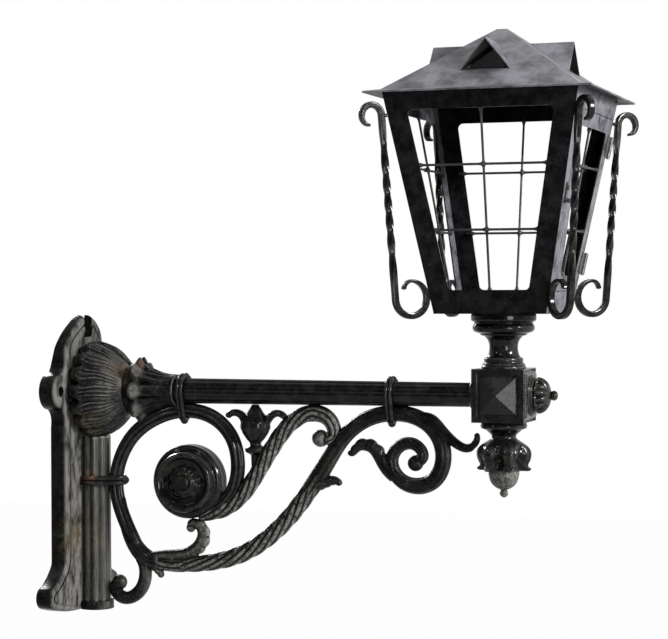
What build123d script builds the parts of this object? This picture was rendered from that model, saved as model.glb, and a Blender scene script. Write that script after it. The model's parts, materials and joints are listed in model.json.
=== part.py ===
from build123d import *
import math
import os

os.makedirs("parts", exist_ok=True)

# Sizes are in millimetres. X runs out from the wall, Z is up, and the origin is on the wall
# at the height of the arm. The near side of the lantern is -Y.

# Slack between pieces
cast_fit = 0.2
weld_gap = 0.15
sheet_gap = 0.1
pin_slack = 0.05
door_gap = 0.8

# Wall plate
plate_t = 22
plate_step = 4
plate_top = 94
plate_bottom = -274
foot_half = 98
foot_arch = 12
shaft_half = 56
ear_y = 66
ear_r = 22
bolt_y = 68
bolt_hole_r = 6.5
slot_w = 21
slot_bottom = 65
nose_half = 55
nose_arch = 42
nose_lift = 15
nose_lift_z = 30
arm_seat = 8

# Reeded column on the plate
column_x = 34
column_r = 16.4
reed_r = 2.7
reeds = 18
column_drop = 1
foot_ring_lift = 2
foot_ring_h = 10
foot_ring_r = 22
band_z = -112
band_h = 11
band_t = 3.6

# Cups at the root of the arm
cup_l = 61
cup_rim_l = 12
cup_rim_r = 60
cup_end_r = 31
socket_l = 62
socket_tip_l = 15
socket_tip_r = 43
socket_end_r = 20
cup_slot_w = 12

# Arm
arm_r_root = 16.4
arm_r_end = 14.6
arm_bore_r = 9
arm_slot_w = 11
spigot_r = 11.5
spigot_l = 14
collar_w = 8
collar_t = 3.4
collar_gap = 5

# Scroll bars under the arm
bar_r = 8.5
rope_r = 9.5
scroll_drop = 213
rope_ball_r = 11
spiral_ball_r = 10
hook_bar_r = 7.4
hook_ball_r = 6.5
tail_r = 7.6
tail_ball_r = 9.5
outer_twig_r = 5.2
inner_twig_r = 6.4
leaf_r = 5
flick_r = 3
petal_r = 4
drum_r = 45
drum_face_r = 37
drum_half = 25
drum_bolt_r = 4

# Block, neck and pendant on the lantern's axis
axis_x = 556
block_half = 31
block_rim = 5
block_pocket = 3
point_h = 13
stem_r = 6
stem_bore_r = 4
stem_drop = 68
nut_flats = 17
nut_h = 7
neck_h = 64
neck_cavity_h = 27
neck_cavity_r = 15.5
flange_r = 38
screw_circle_r = 27
pendant_floor = 49
acorn_r = 18

# Lantern body
floor_t = 2
body_h = 250
half_bottom = 66
half_top = 112.5
sheet_t = 1.6
stile = 24
sill_h = 25
head_h = 22
window_r = 6
rod_r = 1.4
rod_low_h = 93
rod_high_drop = 84
rod_grip = 7

# Door in the outer face
door_sill_h = 23
door_head_h = 23
door_back_edge = 2.8
door_rail = 18
door_stile_near = 22
door_stile_far = 24

# Hinges and latch
barrel_r = 2.6
barrel_off = 3.05
hinge_h = 24
knuckle_gap = 0.4
leaf_w = 12
leaf_t = 1.2
hinge_pin_r = 1.2
hinge_low_h = 56
hinge_high_drop = 56
latch_h = 139
latch_w = 7
latch_long = 18
latch_short = 6
latch_t = 1.8
latch_pin_r = 1.6

# Roof and vents
eave_lap = 1
brim_w = 16.5
brim_drop = 3
roof_pitch = 35
apex_half = 6
roof_t = 1.6
vent_front = 84
vent_half = 30
vent_back = 20
vent_fold = 2.2

# Corner scrolls of the lantern
corner_bar = 7
hook_r = 12.5
hook_h = 28
curl_r = 20
curl_h = 14
scroll_stand = 4
stud_r = 2

# Lamp holder
holder_r = 13.5
holder_h = 45
socket_bore_r = 7.8
socket_depth = 23
shell_t = 0.5

# Places that follow from the sizes
cup_rim_x = plate_t + cup_rim_l
cup_end_x = plate_t + cup_l
socket_tip_x = cup_end_x + socket_tip_l
socket_end_x = cup_end_x + socket_l
column_top = -cup_rim_r - column_drop
foot_ring_bottom = plate_bottom + foot_ring_lift
foot_ring_top = foot_ring_bottom + foot_ring_h
scroll_root_x = column_x + column_r + reed_r + bar_r + 1
collar_inner_x = socket_end_x + collar_gap + collar_w / 2
neck_top = block_half + neck_h
neck_cavity_z = neck_top - neck_cavity_h
body_bottom = neck_top + floor_t
body_top = body_bottom + body_h
sill_z = body_bottom + sill_h
head_z = body_top - head_h
rod_low_z = body_bottom + rod_low_h
rod_high_z = body_top - rod_high_drop
door_sill_z = body_bottom + door_sill_h
door_head_z = body_top - door_head_h
hinge_low_z = body_bottom + hinge_low_h
hinge_high_z = body_top - hinge_high_drop
latch_z = body_bottom + latch_h
roof_half = half_top + eave_lap
brim_half = roof_half + brim_w
hook_z = body_top - hook_h
curl_z = body_bottom + curl_h
stem_bottom = -block_half - stem_drop
pendant_floor_z = -block_half - pendant_floor
holder_z = neck_cavity_z + nut_h
holder_top = holder_z + holder_h
socket_floor_z = holder_top - socket_depth


def keep(piece, name):
    piece.part.label = name
    export_step(piece.part, "parts/" + name + ".step")


def arm_r(x):
    share = (x - arm_seat) / (axis_x - block_half - arm_seat)
    return arm_r_root + (arm_r_end - arm_r_root) * share


def body_half(z):
    return half_bottom + (half_top - half_bottom) * (z - body_bottom) / (body_top - body_bottom)


def out(x):
    """Place along the arm, drawn for a lantern 493.4 out from the bar on the column, at 62.6."""
    return scroll_root_x + (x - 62.6) * (axis_x - scroll_root_x) / 493.4


def down(z):
    """Height in the bracket, drawn for scrolls that hang 213 under the arm."""
    return z * scroll_drop / 213


def drawn(*points):
    """The points of a bend, stretched to the bracket's reach and depth."""
    return [(out(x), down(z)) for x, z in points]


def bent_bar(points, radius):
    """Round bar bent through (x, z) points in the plane of the bracket."""
    with BuildPart() as bar:
        with BuildLine(Plane.XZ) as bend:
            Spline(*points)
        with BuildSketch(Plane(origin=bend.line @ 0, z_dir=bend.line % 0)):
            Circle(radius)
        sweep(path=bend.line)
    return bar.part


def oval(x_a, y_a, r_a, x_b, y_b, r_b):
    """Outline drawn tight round two circles."""
    with BuildSketch() as loop:
        with Locations((x_a, y_a)):
            Circle(r_a)
        with Locations((x_b, y_b)):
            Circle(r_b)
        make_hull()
    return loop.sketch


# Wall plate
def plate_layer(start, depth, inset):
    """One layer of the plate, its edge set in by a given amount."""
    foot_y = foot_half - inset
    foot_z = plate_bottom + inset
    toe_z = foot_z + foot_arch
    shaft_y = shaft_half - inset
    nose_y = nose_half - inset
    nose_z = plate_top - inset
    ear = ear_r - inset
    shoulder = (0.6 * nose_y, nose_z - nose_arch / 3)
    with BuildPart() as layer:
        with BuildSketch(Plane.YZ.offset(start)):
            with BuildLine():
                ThreePointArc((0, foot_z), (0.55 * foot_y, foot_z + foot_arch / 3), (foot_y - 9, toe_z))
                ThreePointArc((foot_y - 9, toe_z), (foot_y, toe_z + 12), (foot_y - 12, toe_z + 26))
                ThreePointArc((foot_y - 12, toe_z + 26), (foot_y - 26, toe_z + 34), (shaft_y, toe_z + 50))
                Line((shaft_y, toe_z + 50), (shaft_y, -44))
                ThreePointArc((shaft_y, -44), (shaft_y + 2, -28), (ear_y, -ear))
                ThreePointArc((ear_y, -ear), (ear_y + ear, 0), (ear_y, ear))
                ThreePointArc((ear_y, ear), (nose_y + 3, ear + 5), (nose_y, ear + 14))
                Line((nose_y, ear + 14), (nose_y, nose_z - nose_arch))
                ThreePointArc((nose_y, nose_z - nose_arch), (0.85 * nose_y, nose_z - 0.64 * nose_arch),
                              shoulder)
                ThreePointArc(shoulder, (0.33 * nose_y, nose_z - 0.11 * nose_arch), (0, nose_z))
                mirror(about=Plane.YZ)
            make_face()
        extrude(amount=depth)
    return layer.part


with BuildPart() as wall_plate:
    add(plate_layer(0, plate_t - plate_step, 0))
    add(plate_layer(plate_t - plate_step, plate_step, plate_step))
    with BuildSketch(Plane.YZ):
        with Locations((-bolt_y, 0), (bolt_y, 0)):
            Circle(bolt_hole_r)
    extrude(amount=plate_t, mode=Mode.SUBTRACT)
    with BuildSketch(Plane.YZ):
        with Locations((0, slot_bottom)):
            Rectangle(slot_w, plate_top, align=(Align.CENTER, Align.MIN))
    extrude(amount=plate_t, mode=Mode.SUBTRACT)
    with BuildSketch(Plane.YZ.offset(arm_seat)):
        Circle(arm_r_root + cast_fit)
    extrude(amount=plate_t, mode=Mode.SUBTRACT)
    with BuildSketch(Plane.XZ):
        with BuildLine():
            Polyline((0, nose_lift_z), (nose_lift, plate_top + 1), (0, plate_top + 1), close=True)
        make_face()
    extrude(amount=foot_half, both=True, mode=Mode.SUBTRACT)
keep(wall_plate, "wall_plate")

# Column: a reeded shaft whose back lies flat on the plate
with BuildPart() as column:
    with BuildSketch(Plane.XY.offset(foot_ring_top)):
        with Locations((column_x, 0)):
            Circle(column_r)
            with PolarLocations(column_r, reeds):
                Circle(reed_r)
        with Locations((plate_t, 0)):
            Rectangle(2 * column_x, 4 * column_r, align=(Align.MAX, Align.CENTER), mode=Mode.SUBTRACT)
    extrude(amount=column_top - foot_ring_top)
keep(column, "column")

with BuildPart() as column_foot:
    with BuildSketch(Plane.XY.offset(foot_ring_bottom)):
        with Locations((column_x, 0)):
            Circle(foot_ring_r)
        with Locations((plate_t, 0)):
            Rectangle(2 * column_x, 4 * foot_ring_r, align=(Align.MAX, Align.CENTER), mode=Mode.SUBTRACT)
    extrude(amount=foot_ring_h)
keep(column_foot, "column_foot")

# Strap that ties the big scroll to the column
shaft_loop = column_r + reed_r + cast_fit
root_loop = bar_r + 2 * cast_fit
with BuildPart() as column_band:
    with BuildSketch(Plane.XY.offset(band_z - band_h / 2)):
        add(oval(column_x, 0, shaft_loop + band_t, scroll_root_x, 0, root_loop + band_t))
        add(oval(column_x, 0, shaft_loop, scroll_root_x, 0, root_loop), mode=Mode.SUBTRACT)
        with Locations((plate_t, 0)):
            Rectangle(2 * column_x, 90, align=(Align.MAX, Align.CENTER), mode=Mode.SUBTRACT)
    extrude(amount=band_h)
keep(column_band, "column_band")

# Fluted cup against the plate, and the leaf socket in front of it
cup_bore = arm_r_root + cast_fit
with BuildPart() as root_cup:
    with BuildSketch(Plane.XZ):
        with BuildLine():
            Polyline((plate_t, cup_bore), (plate_t, cup_rim_r - 8), (cup_rim_x - 7, cup_rim_r - 2.5))
            Spline((cup_rim_x - 7, cup_rim_r - 2.5), (cup_rim_x, cup_rim_r), (cup_rim_x + 10, cup_rim_r - 1.4),
                   (cup_rim_x + 20, cup_rim_r - 5), (cup_end_x - 17, cup_end_r + 16.5),
                   (cup_end_x - 7, cup_end_r + 6.5), (cup_end_x, cup_end_r))
            Polyline((cup_end_x, cup_end_r), (cup_end_x, cup_bore), (plate_t, cup_bore))
        make_face()
    revolve(axis=Axis.X)
    with BuildSketch(Plane.YZ.offset(plate_t + 6)):
        with PolarLocations(cup_rim_r + 3, 16, start_angle=11.25):
            Circle(6)
    extrude(amount=40, mode=Mode.SUBTRACT)
    with BuildSketch(Plane.XY):
        with Locations((plate_t, 0)):
            Rectangle(cup_end_x, cup_slot_w, align=(Align.MIN, Align.CENTER))
    extrude(amount=cup_rim_r + 1, mode=Mode.SUBTRACT)
keep(root_cup, "root_cup")


def socket_round(grow):
    """The turned shape of the leaf socket, grown by a given amount."""
    with BuildPart() as turned:
        with BuildSketch(Plane.XZ):
            with BuildLine():
                root_r = cup_end_r - 1 + grow
                tip_r = socket_tip_r + grow
                end_r = socket_end_r + grow
                Polyline((cup_end_x, cup_bore), (cup_end_x, root_r))
                Spline((cup_end_x, root_r), (socket_tip_x - 8, tip_r - 8), (socket_tip_x, tip_r),
                       (socket_tip_x + 5, tip_r - 7), (socket_end_x - 30, end_r + 7),
                       (socket_end_x - 15, end_r + 1.5), (socket_end_x, end_r))
                Polyline((socket_end_x, end_r), (socket_end_x, cup_bore), (cup_end_x, cup_bore))
            make_face()
        revolve(axis=Axis.X)
    return turned.part


with BuildPart() as leaf_socket:
    add(socket_round(0))
    with BuildSketch(Plane.YZ.offset(cup_end_x + 4)):
        with PolarLocations(socket_tip_r + 4, 8, start_angle=22.5):
            Circle(9)
    extrude(amount=30, mode=Mode.SUBTRACT)
    with BuildSketch(Plane.XY):
        with Locations((cup_end_x, 0)):
            Rectangle(socket_end_x, cup_slot_w, align=(Align.MIN, Align.CENTER))
    extrude(amount=socket_tip_r + 1, mode=Mode.SUBTRACT)
keep(leaf_socket, "leaf_socket")

# Arm: a tapered bar with a channel along its top for the supply wire
arm_end_x = axis_x - block_half
with BuildPart() as arm_channel:
    with BuildSketch(Plane.XZ):
        with BuildLine():
            Polyline((arm_seat, arm_bore_r), (arm_seat, arm_r_root), (arm_end_x, arm_r_end),
                     (arm_end_x, spigot_r), (arm_end_x + spigot_l, spigot_r),
                     (arm_end_x + spigot_l, arm_bore_r), close=True)
        make_face()
    revolve(axis=Axis.X)
    with BuildSketch(Plane.XY):
        with Locations((arm_seat, 0)):
            Rectangle(arm_end_x - 12 - arm_seat, arm_slot_w, align=(Align.MIN, Align.CENTER))
    extrude(amount=2 * arm_r_root, mode=Mode.SUBTRACT)
keep(arm_channel, "arm_channel")


def scroll_top(x, radius):
    """Height of the middle of a bar that lies against the underside of the arm."""
    return -(arm_r(x) + weld_gap + radius)


def arm_collar(x_mid, z_bar):
    """Strap round the arm and the bar under it, open at the top over the channel."""
    arm_loop = arm_r(x_mid - collar_w / 2) + cast_fit
    bar_loop = bar_r + 2 * cast_fit
    with BuildPart() as collar:
        with BuildSketch(Plane.YZ.offset(x_mid - collar_w / 2)):
            add(oval(0, 0, arm_loop + collar_t, 0, z_bar, bar_loop + collar_t))
            add(oval(0, 0, arm_loop, 0, z_bar, bar_loop), mode=Mode.SUBTRACT)
            Rectangle(arm_slot_w, 2 * arm_r_root, align=(Align.CENTER, Align.MIN), mode=Mode.SUBTRACT)
        extrude(amount=collar_w)
    return collar


collar_outer_x = out(420)
volute_z = scroll_top(collar_inner_x, bar_r)
lower_z = scroll_top(collar_outer_x, bar_r)
keep(arm_collar(collar_inner_x, volute_z), "arm_collar_inner")
keep(arm_collar(collar_outer_x, lower_z), "arm_collar_outer")

# Bends of the scroll bars, as points along the middle of each bar
band_x = scroll_root_x + cast_fit
rope_top_x = out(322)
volute_bend = [
    *drawn((92, -199), (74, -163)), (band_x, band_z - 14), (band_x, band_z + 6),
    *drawn((69, -83), (85, -57), (115, -35)), (collar_inner_x, volute_z),
    *drawn((193, -33), (217, -58), (224, -88), (219, -117), (200, -140), (171, -151))]
rope_bend = [
    *drawn((171, -151), (205, -144), (234, -121), (256, -88), (274, -60), (296, -35)),
    (rope_top_x, scroll_top(rope_top_x, rope_r)), *drawn((343, -34), (347, -51), (334, -58))]
lower_bend = [
    *drawn((92, -203), (120, -212), (160, -213), (228, -198), (292, -149), (340, -82), (366, -47)),
    *drawn((394, -29)), (collar_outer_x, lower_z), *drawn((448, -27), (472, -43), (483, -75)),
    *drawn((472, -101), (450, -109), (427, -99), (420, -78), (432, -61), (450, -61)),
    *drawn((458, -74), (450, -82))]
hook_bend = drawn((104, -208), (128, -203), (151, -201), (168, -194), (177, -183), (177, -172), (169, -164))
tail_bend = drawn((92, -203), (99, -214), (101, -228), (97, -243), (87, -254), (75, -258), (64, -253),
                  (61, -243))
leaf_bend = drawn((98, -208), (110, -216), (122, -232))
outer_twig_bend = drawn((462, -32), (480, -41), (491, -52), (502, -60), (512, -63), (520, -61))
outer_flick_bend = drawn((512, -62), (521, -57), (525, -46))
inner_twig_bend = drawn((417, -86), (407, -71), (394, -62), (379, -65), (369, -73))
sheath_bend = drawn((318, -116), (330, -108), (343, -107), (357, -114))
drum_x = out(161)
drum_z = down(-111)


# The rosettes and two of the bars, grown a little, to trim the bars that meet them
with BuildPart() as drum_room:
    with BuildSketch(Plane.XZ.offset(-2 * drum_half)):
        with Locations((drum_x, drum_z)):
            Circle(drum_r + weld_gap)
    extrude(amount=4 * drum_half)
volute_room = bent_bar(volute_bend, bar_r + weld_gap)
rope_room = bent_bar(rope_bend, rope_r + weld_gap)

with BuildPart() as volute_scroll:
    add(bent_bar(volute_bend, bar_r))
    add(drum_room.part, mode=Mode.SUBTRACT)
    add(socket_round(weld_gap), mode=Mode.SUBTRACT)
keep(volute_scroll, "volute_scroll")

with BuildPart() as rope_scroll:
    add(bent_bar(rope_bend, rope_r))
    with Locations((out(331), 0, down(-56))):
        Sphere(rope_ball_r)
    add(drum_room.part, mode=Mode.SUBTRACT)
    add(volute_room, mode=Mode.SUBTRACT)
keep(rope_scroll, "rope_scroll")

with BuildPart() as lower_scroll:
    add(bent_bar(lower_bend, bar_r))
    with Locations((out(449), 0, down(-83))):
        Sphere(spiral_ball_r)
    add(bent_bar(hook_bend, hook_bar_r))
    with Locations((out(163), 0, down(-167))):
        Sphere(hook_ball_r)
    add(bent_bar(tail_bend, tail_r))
    with Locations((out(66), 0, down(-239))):
        Sphere(tail_ball_r)
    add(bent_bar(leaf_bend, leaf_r))
    add(bent_bar(outer_twig_bend, outer_twig_r))
    add(bent_bar(outer_flick_bend, flick_r))
    add(bent_bar(inner_twig_bend, inner_twig_r))
    add(bent_bar(sheath_bend, leaf_r))
    add(drum_room.part, mode=Mode.SUBTRACT)
    add(volute_room, mode=Mode.SUBTRACT)
    add(rope_room, mode=Mode.SUBTRACT)
keep(lower_scroll, "lower_scroll")

# Rosettes: two turned discs back to back with a bolt through them
rosette_outline = [
    (0, 0), (drum_r, 0), (drum_r, drum_half - 16), (drum_r - 3, drum_half - 12),
    (drum_face_r, drum_half - 10), (drum_face_r, drum_half - 3), (drum_face_r - 4, drum_half),
    (drum_face_r - 8, drum_half - 3), (drum_face_r - 10, drum_half - 6), (drum_face_r - 15, drum_half - 6),
    (drum_face_r - 19, drum_half - 2), (drum_face_r - 24, drum_half), (drum_face_r - 24, drum_half + 1),
    (0, drum_half + 1)]


def rosette(side):
    disc_plane = Plane(origin=(drum_x, side * sheet_gap / 2, drum_z), x_dir=(1, 0, 0), z_dir=(0, 0, 1))
    with BuildPart() as disc:
        with BuildSketch(disc_plane):
            with BuildLine():
                Polyline(*[(r, side * y) for r, y in rosette_outline], close=True)
            make_face()
        revolve(axis=Axis((drum_x, 0, drum_z), (0, 1, 0)))
        with BuildSketch(Plane.XZ.offset(-2 * drum_half)):
            with Locations((drum_x, drum_z)):
                Circle(drum_bolt_r + cast_fit)
        extrude(amount=4 * drum_half, mode=Mode.SUBTRACT)
    return disc


keep(rosette(-1), "rosette_near")
keep(rosette(1), "rosette_far")

drum_face_y = drum_half + 1 + sheet_gap / 2
with BuildPart() as rosette_bolt:
    with BuildSketch(Plane.XZ.offset(-drum_face_y - 6)):
        with Locations((drum_x, drum_z)):
            Circle(drum_bolt_r)
    extrude(amount=2 * drum_face_y + 6)
    with BuildSketch(Plane.XZ.offset(drum_face_y)):
        with Locations((drum_x, drum_z)):
            Circle(8)
    extrude(amount=4)
keep(rosette_bolt, "rosette_bolt")
with BuildPart() as rosette_nut:
    with BuildSketch(Plane.XZ.offset(-drum_face_y)):
        with Locations((drum_x, drum_z)):
            RegularPolygon(8, 6)
            Circle(drum_bolt_r + sheet_gap, mode=Mode.SUBTRACT)
    extrude(amount=-5)
keep(rosette_nut, "rosette_nut")

# Lily bud between the big scroll and the rope scroll
fleuron_x = out(247)
fleuron_top = -(arm_r(fleuron_x) + weld_gap)
with BuildPart() as fleuron:
    with BuildSketch(Plane.XZ):
        with BuildLine():
            bud_foot = (fleuron_x, down(-92))
            bud_tip = (fleuron_x + 4, down(-21))
            bud_base = (fleuron_x + 4, down(-62))
            Polyline(bud_foot, (fleuron_x, fleuron_top), (fleuron_x + 4, fleuron_top), bud_tip)
            Spline(bud_tip, (fleuron_x + 14, down(-30)), (fleuron_x + 17, down(-39)),
                   (fleuron_x + 13, down(-50)), bud_base)
            Polyline(bud_base, (fleuron_x + 5, down(-69)), (fleuron_x + 11, down(-72)),
                     (fleuron_x + 11, down(-77)), (fleuron_x + 5, down(-81)),
                     (fleuron_x + 4, down(-92)), bud_foot)
        make_face()
    revolve(axis=Axis((fleuron_x, 0, 0), (0, 0, 1)))
    add(bent_bar(drawn((242, -50), (235, -38), (228, -29), (220, -26), (213, -29)), petal_r))
    add(bent_bar(drawn((252, -50), (259, -38), (266, -29), (274, -26), (280, -28)), petal_r))
    add(volute_room, mode=Mode.SUBTRACT)
    add(rope_room, mode=Mode.SUBTRACT)
keep(fleuron, "fleuron")

# Block that carries the lantern
with BuildPart() as block:
    with Locations((axis_x, 0, 0)):
        Box(2 * block_half, 2 * block_half, 2 * block_half)
    chamfer(block.edges(), 2)
    for side in (-1, 1):
        face_plane = Plane(origin=(axis_x, side * block_half, 0), x_dir=(1, 0, 0), z_dir=(0, side, 0))
        with BuildSketch(face_plane):
            Rectangle(2 * (block_half - block_rim), 2 * (block_half - block_rim))
        extrude(amount=-block_pocket, mode=Mode.SUBTRACT)
        with BuildSketch(face_plane.offset(-block_pocket)):
            Rectangle(2 * (block_half - block_rim), 2 * (block_half - block_rim))
        with BuildSketch(face_plane.offset(point_h - block_pocket)):
            Rectangle(2, 2)
        loft()
    with BuildSketch(Plane.YZ.offset(arm_end_x - 7)):
        Circle(arm_r_end + 5)
        Circle(arm_r_end + cast_fit, mode=Mode.SUBTRACT)
    extrude(amount=7)
    with BuildSketch(Plane.YZ.offset(arm_end_x)):
        Circle(spigot_r + cast_fit)
    extrude(amount=spigot_l + 1, mode=Mode.SUBTRACT)
    with BuildSketch(Plane.YZ.offset(axis_x + stem_r + 4)):
        Circle(6 + sheet_gap)
    extrude(amount=block_half, mode=Mode.SUBTRACT)
    with BuildSketch(Plane.XY.offset(-block_half)):
        with Locations((axis_x, 0)):
            Circle(stem_r + cast_fit)
    extrude(amount=2 * block_half, mode=Mode.SUBTRACT)
keep(block, "block")

block_side = axis_x + block_half
finial_root = axis_x + stem_r + 5
with BuildPart() as end_finial:
    with BuildSketch(Plane.XZ):
        with BuildLine():
            dome_edge = (block_side + 10, 21.5)
            button_neck = (block_side + 25, 6)
            finial_tip = (block_side + 33, 0)
            Polyline((finial_root, 0), (finial_root, 6), (block_side, 6), (block_side, 22),
                     (block_side + 4, 24), (block_side + 7, 20), (block_side + 9, 20), dome_edge)
            Spline(dome_edge, (block_side + 17, 19), (block_side + 23, 11), button_neck)
            Spline(button_neck, (block_side + 28, 7.5), (block_side + 32, 5), finial_tip)
            Line(finial_tip, (finial_root, 0))
        make_face()
    revolve(axis=Axis.X)
keep(end_finial, "end_finial")

lantern_axis = Axis((axis_x, 0, 0), (0, 0, 1))
neck_bore = axis_x + stem_r + cast_fit
neck_hollow = axis_x + neck_cavity_r
neck_flange = axis_x + flange_r
with BuildPart() as neck:
    with BuildSketch(Plane.XZ):
        with BuildLine():
            waist_foot = (axis_x + 18.5, block_half + 15)
            waist_head = (axis_x + 25, neck_top - 24)
            Polyline((neck_bore, block_half), (axis_x + 26, block_half), (axis_x + 26, block_half + 3),
                     (axis_x + 22.5, block_half + 9), (axis_x + 22.5, block_half + 12), waist_foot)
            Spline(waist_foot, (axis_x + 16.6, block_half + 24), (axis_x + 18.5, neck_top - 31), waist_head)
            Polyline(waist_head, (neck_flange - 6, neck_top - 22.5), (neck_flange - 5, neck_top - 18),
                     (neck_flange - 7, neck_top - 14), (neck_flange - 8, neck_top - 11),
                     (neck_flange, neck_top - 9.5),
                     (neck_flange, neck_top - 2), (neck_flange - 2, neck_top),
                     (neck_hollow, neck_top), (neck_hollow, neck_cavity_z),
                     (neck_bore, neck_cavity_z), (neck_bore, block_half))
        make_face()
    revolve(axis=lantern_axis)
    with BuildSketch(Plane.XY.offset(neck_top)):
        with Locations((axis_x, 0)):
            with PolarLocations(screw_circle_r, 4, start_angle=45):
                Circle(2 + sheet_gap)
    extrude(amount=-8, mode=Mode.SUBTRACT)
keep(neck, "neck")

pendant_top = -block_half
stem_room = axis_x + stem_r + cast_fit
acorn_room = axis_x + acorn_r + cast_fit
with BuildPart() as pendant_cup:
    with BuildSketch(Plane.XZ):
        with BuildLine():
            Polyline((stem_room, pendant_top), (axis_x + 24, pendant_top), (axis_x + 27, pendant_top - 3),
                     (axis_x + 27, pendant_top - 7), (axis_x + 19, pendant_top - 11))
            Spline((axis_x + 19, pendant_top - 11), (axis_x + 14, pendant_top - 17.5),
                   (axis_x + 20, pendant_top - 23), (axis_x + 32, pendant_top - 33),
                   (axis_x + 32, pendant_top - 43), (axis_x + 26, pendant_top - 57))
            Polyline((axis_x + 26, pendant_top - 57), (acorn_room, pendant_top - 57),
                     (acorn_room, pendant_floor_z), (stem_room, pendant_floor_z), (stem_room, pendant_top))
        make_face()
    revolve(axis=lantern_axis)
    with BuildSketch(Plane.XY.offset(pendant_top - 31)):
        with Locations((axis_x, 0)):
            with PolarLocations(36, 6, start_angle=30):
                Circle(6)
    extrude(amount=-30, mode=Mode.SUBTRACT)
keep(pendant_cup, "pendant_cup")

acorn_bore = axis_x + stem_r + sheet_gap
with BuildPart() as pendant_acorn:
    with BuildSketch(Plane.XZ):
        with BuildLine():
            acorn_side = (axis_x + acorn_r, pendant_floor_z - 12)
            acorn_neck = (axis_x + 3, pendant_floor_z - 30.5)
            acorn_tip = (axis_x, pendant_floor_z - 39.5)
            Polyline((acorn_bore, pendant_floor_z), (axis_x + acorn_r, pendant_floor_z), acorn_side)
            Spline(acorn_side, (axis_x + acorn_r - 3, pendant_floor_z - 22),
                   (axis_x + 8, pendant_floor_z - 28.5), acorn_neck)
            Spline(acorn_neck, (axis_x + 5, pendant_floor_z - 34.5), acorn_tip)
            Polyline(acorn_tip, (axis_x, stem_bottom - 1), (acorn_bore, stem_bottom - 1),
                     (acorn_bore, pendant_floor_z))
        make_face()
    revolve(axis=lantern_axis)
keep(pendant_acorn, "pendant_acorn")

# Hollow stem that clamps pendant, block and neck together
with BuildPart() as stem_tube:
    with BuildSketch(Plane.XY.offset(stem_bottom)):
        with Locations((axis_x, 0)):
            Circle(stem_r)
            Circle(stem_bore_r, mode=Mode.SUBTRACT)
    extrude(amount=neck_cavity_z + nut_h + 5 - stem_bottom)
keep(stem_tube, "stem_tube")

with BuildPart() as stem_nut:
    with BuildSketch(Plane.XY.offset(neck_cavity_z)):
        with Locations((axis_x, 0)):
            RegularPolygon(nut_flats / 2, 6, major_radius=False)
            Circle(stem_r + sheet_gap, mode=Mode.SUBTRACT)
    extrude(amount=nut_h)
keep(stem_nut, "stem_nut")

# Lantern floor with its four screws
with BuildPart() as lantern_floor:
    with BuildSketch(Plane.XY.offset(neck_top)):
        with Locations((axis_x, 0)):
            Rectangle(2 * half_bottom, 2 * half_bottom)
            Circle(neck_cavity_r, mode=Mode.SUBTRACT)
            with PolarLocations(screw_circle_r, 4, start_angle=45):
                Circle(2 + sheet_gap, mode=Mode.SUBTRACT)
    extrude(amount=floor_t)
keep(lantern_floor, "lantern_floor")

with BuildPart() as floor_screws:
    with BuildSketch(Plane.XY.offset(neck_top - 7)):
        with Locations((axis_x, 0)):
            with PolarLocations(screw_circle_r, 4, start_angle=45):
                Circle(2)
    extrude(amount=7 + floor_t)
    with BuildSketch(Plane.XY.offset(neck_top + floor_t)):
        with Locations((axis_x, 0)):
            with PolarLocations(screw_circle_r, 4, start_angle=45):
                Circle(3.8)
    extrude(amount=2)
keep(floor_screws, "floor_screws")


# Body of the lantern: four leaning sheet faces
def face_up(angle, reach=0):
    """Upright plane through the axis that looks out of one face, with its own x along the face."""
    turn = math.radians(angle)
    out = (math.sin(turn), -math.cos(turn), 0)
    start = (axis_x + reach * out[0], reach * out[1], 0)
    return Plane(origin=start, x_dir=(math.cos(turn), math.sin(turn), 0), z_dir=out)


def face_flat(angle, z):
    turn = math.radians(angle)
    return Plane(origin=(axis_x, 0, z), x_dir=(math.cos(turn), math.sin(turn), 0), z_dir=(0, 0, 1))


lean = math.atan((half_top - half_bottom) / (body_top - body_bottom))
sheet_level = sheet_t / math.cos(lean)


def body_wall(angle):
    """One wall of the tapered body, cut off along the corners."""
    with BuildPart() as wall:
        for shrink, mode in ((0, Mode.ADD), (sheet_level, Mode.SUBTRACT)):
            with BuildSketch(face_flat(angle, body_bottom)):
                Rectangle(2 * (half_bottom - shrink), 2 * (half_bottom - shrink))
            with BuildSketch(face_flat(angle, body_top)):
                Rectangle(2 * (half_top - shrink), 2 * (half_top - shrink))
            loft(mode=mode)
        with BuildSketch(face_flat(angle, body_bottom)):
            with BuildLine():
                Polyline((0, -sheet_gap), (2 * half_top, -2 * half_top - sheet_gap),
                         (-2 * half_top, -2 * half_top - sheet_gap), close=True)
            make_face()
        extrude(amount=body_top - body_bottom, mode=Mode.INTERSECT)
    return wall.part


def face_cut(angle, low, high, near, far, corner):
    """Tapered outline on a face, set in from its edges, carried outward through the sheet."""
    with BuildPart() as cut:
        with BuildSketch(face_up(angle)) as outline:
            with BuildLine():
                Polyline((-(body_half(low) - near), low), (body_half(low) - far, low),
                         (body_half(high) - far, high), (-(body_half(high) - near), high), close=True)
            make_face()
            if corner > 0:
                fillet(outline.vertices(), corner)
        extrude(amount=2 * half_top)
    return cut.part


def rod_place(z):
    """Distance from the axis of a rod that lies on the inside of a face."""
    return body_half(z) - sheet_level - (rod_r + sheet_gap) / math.cos(lean)


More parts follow.
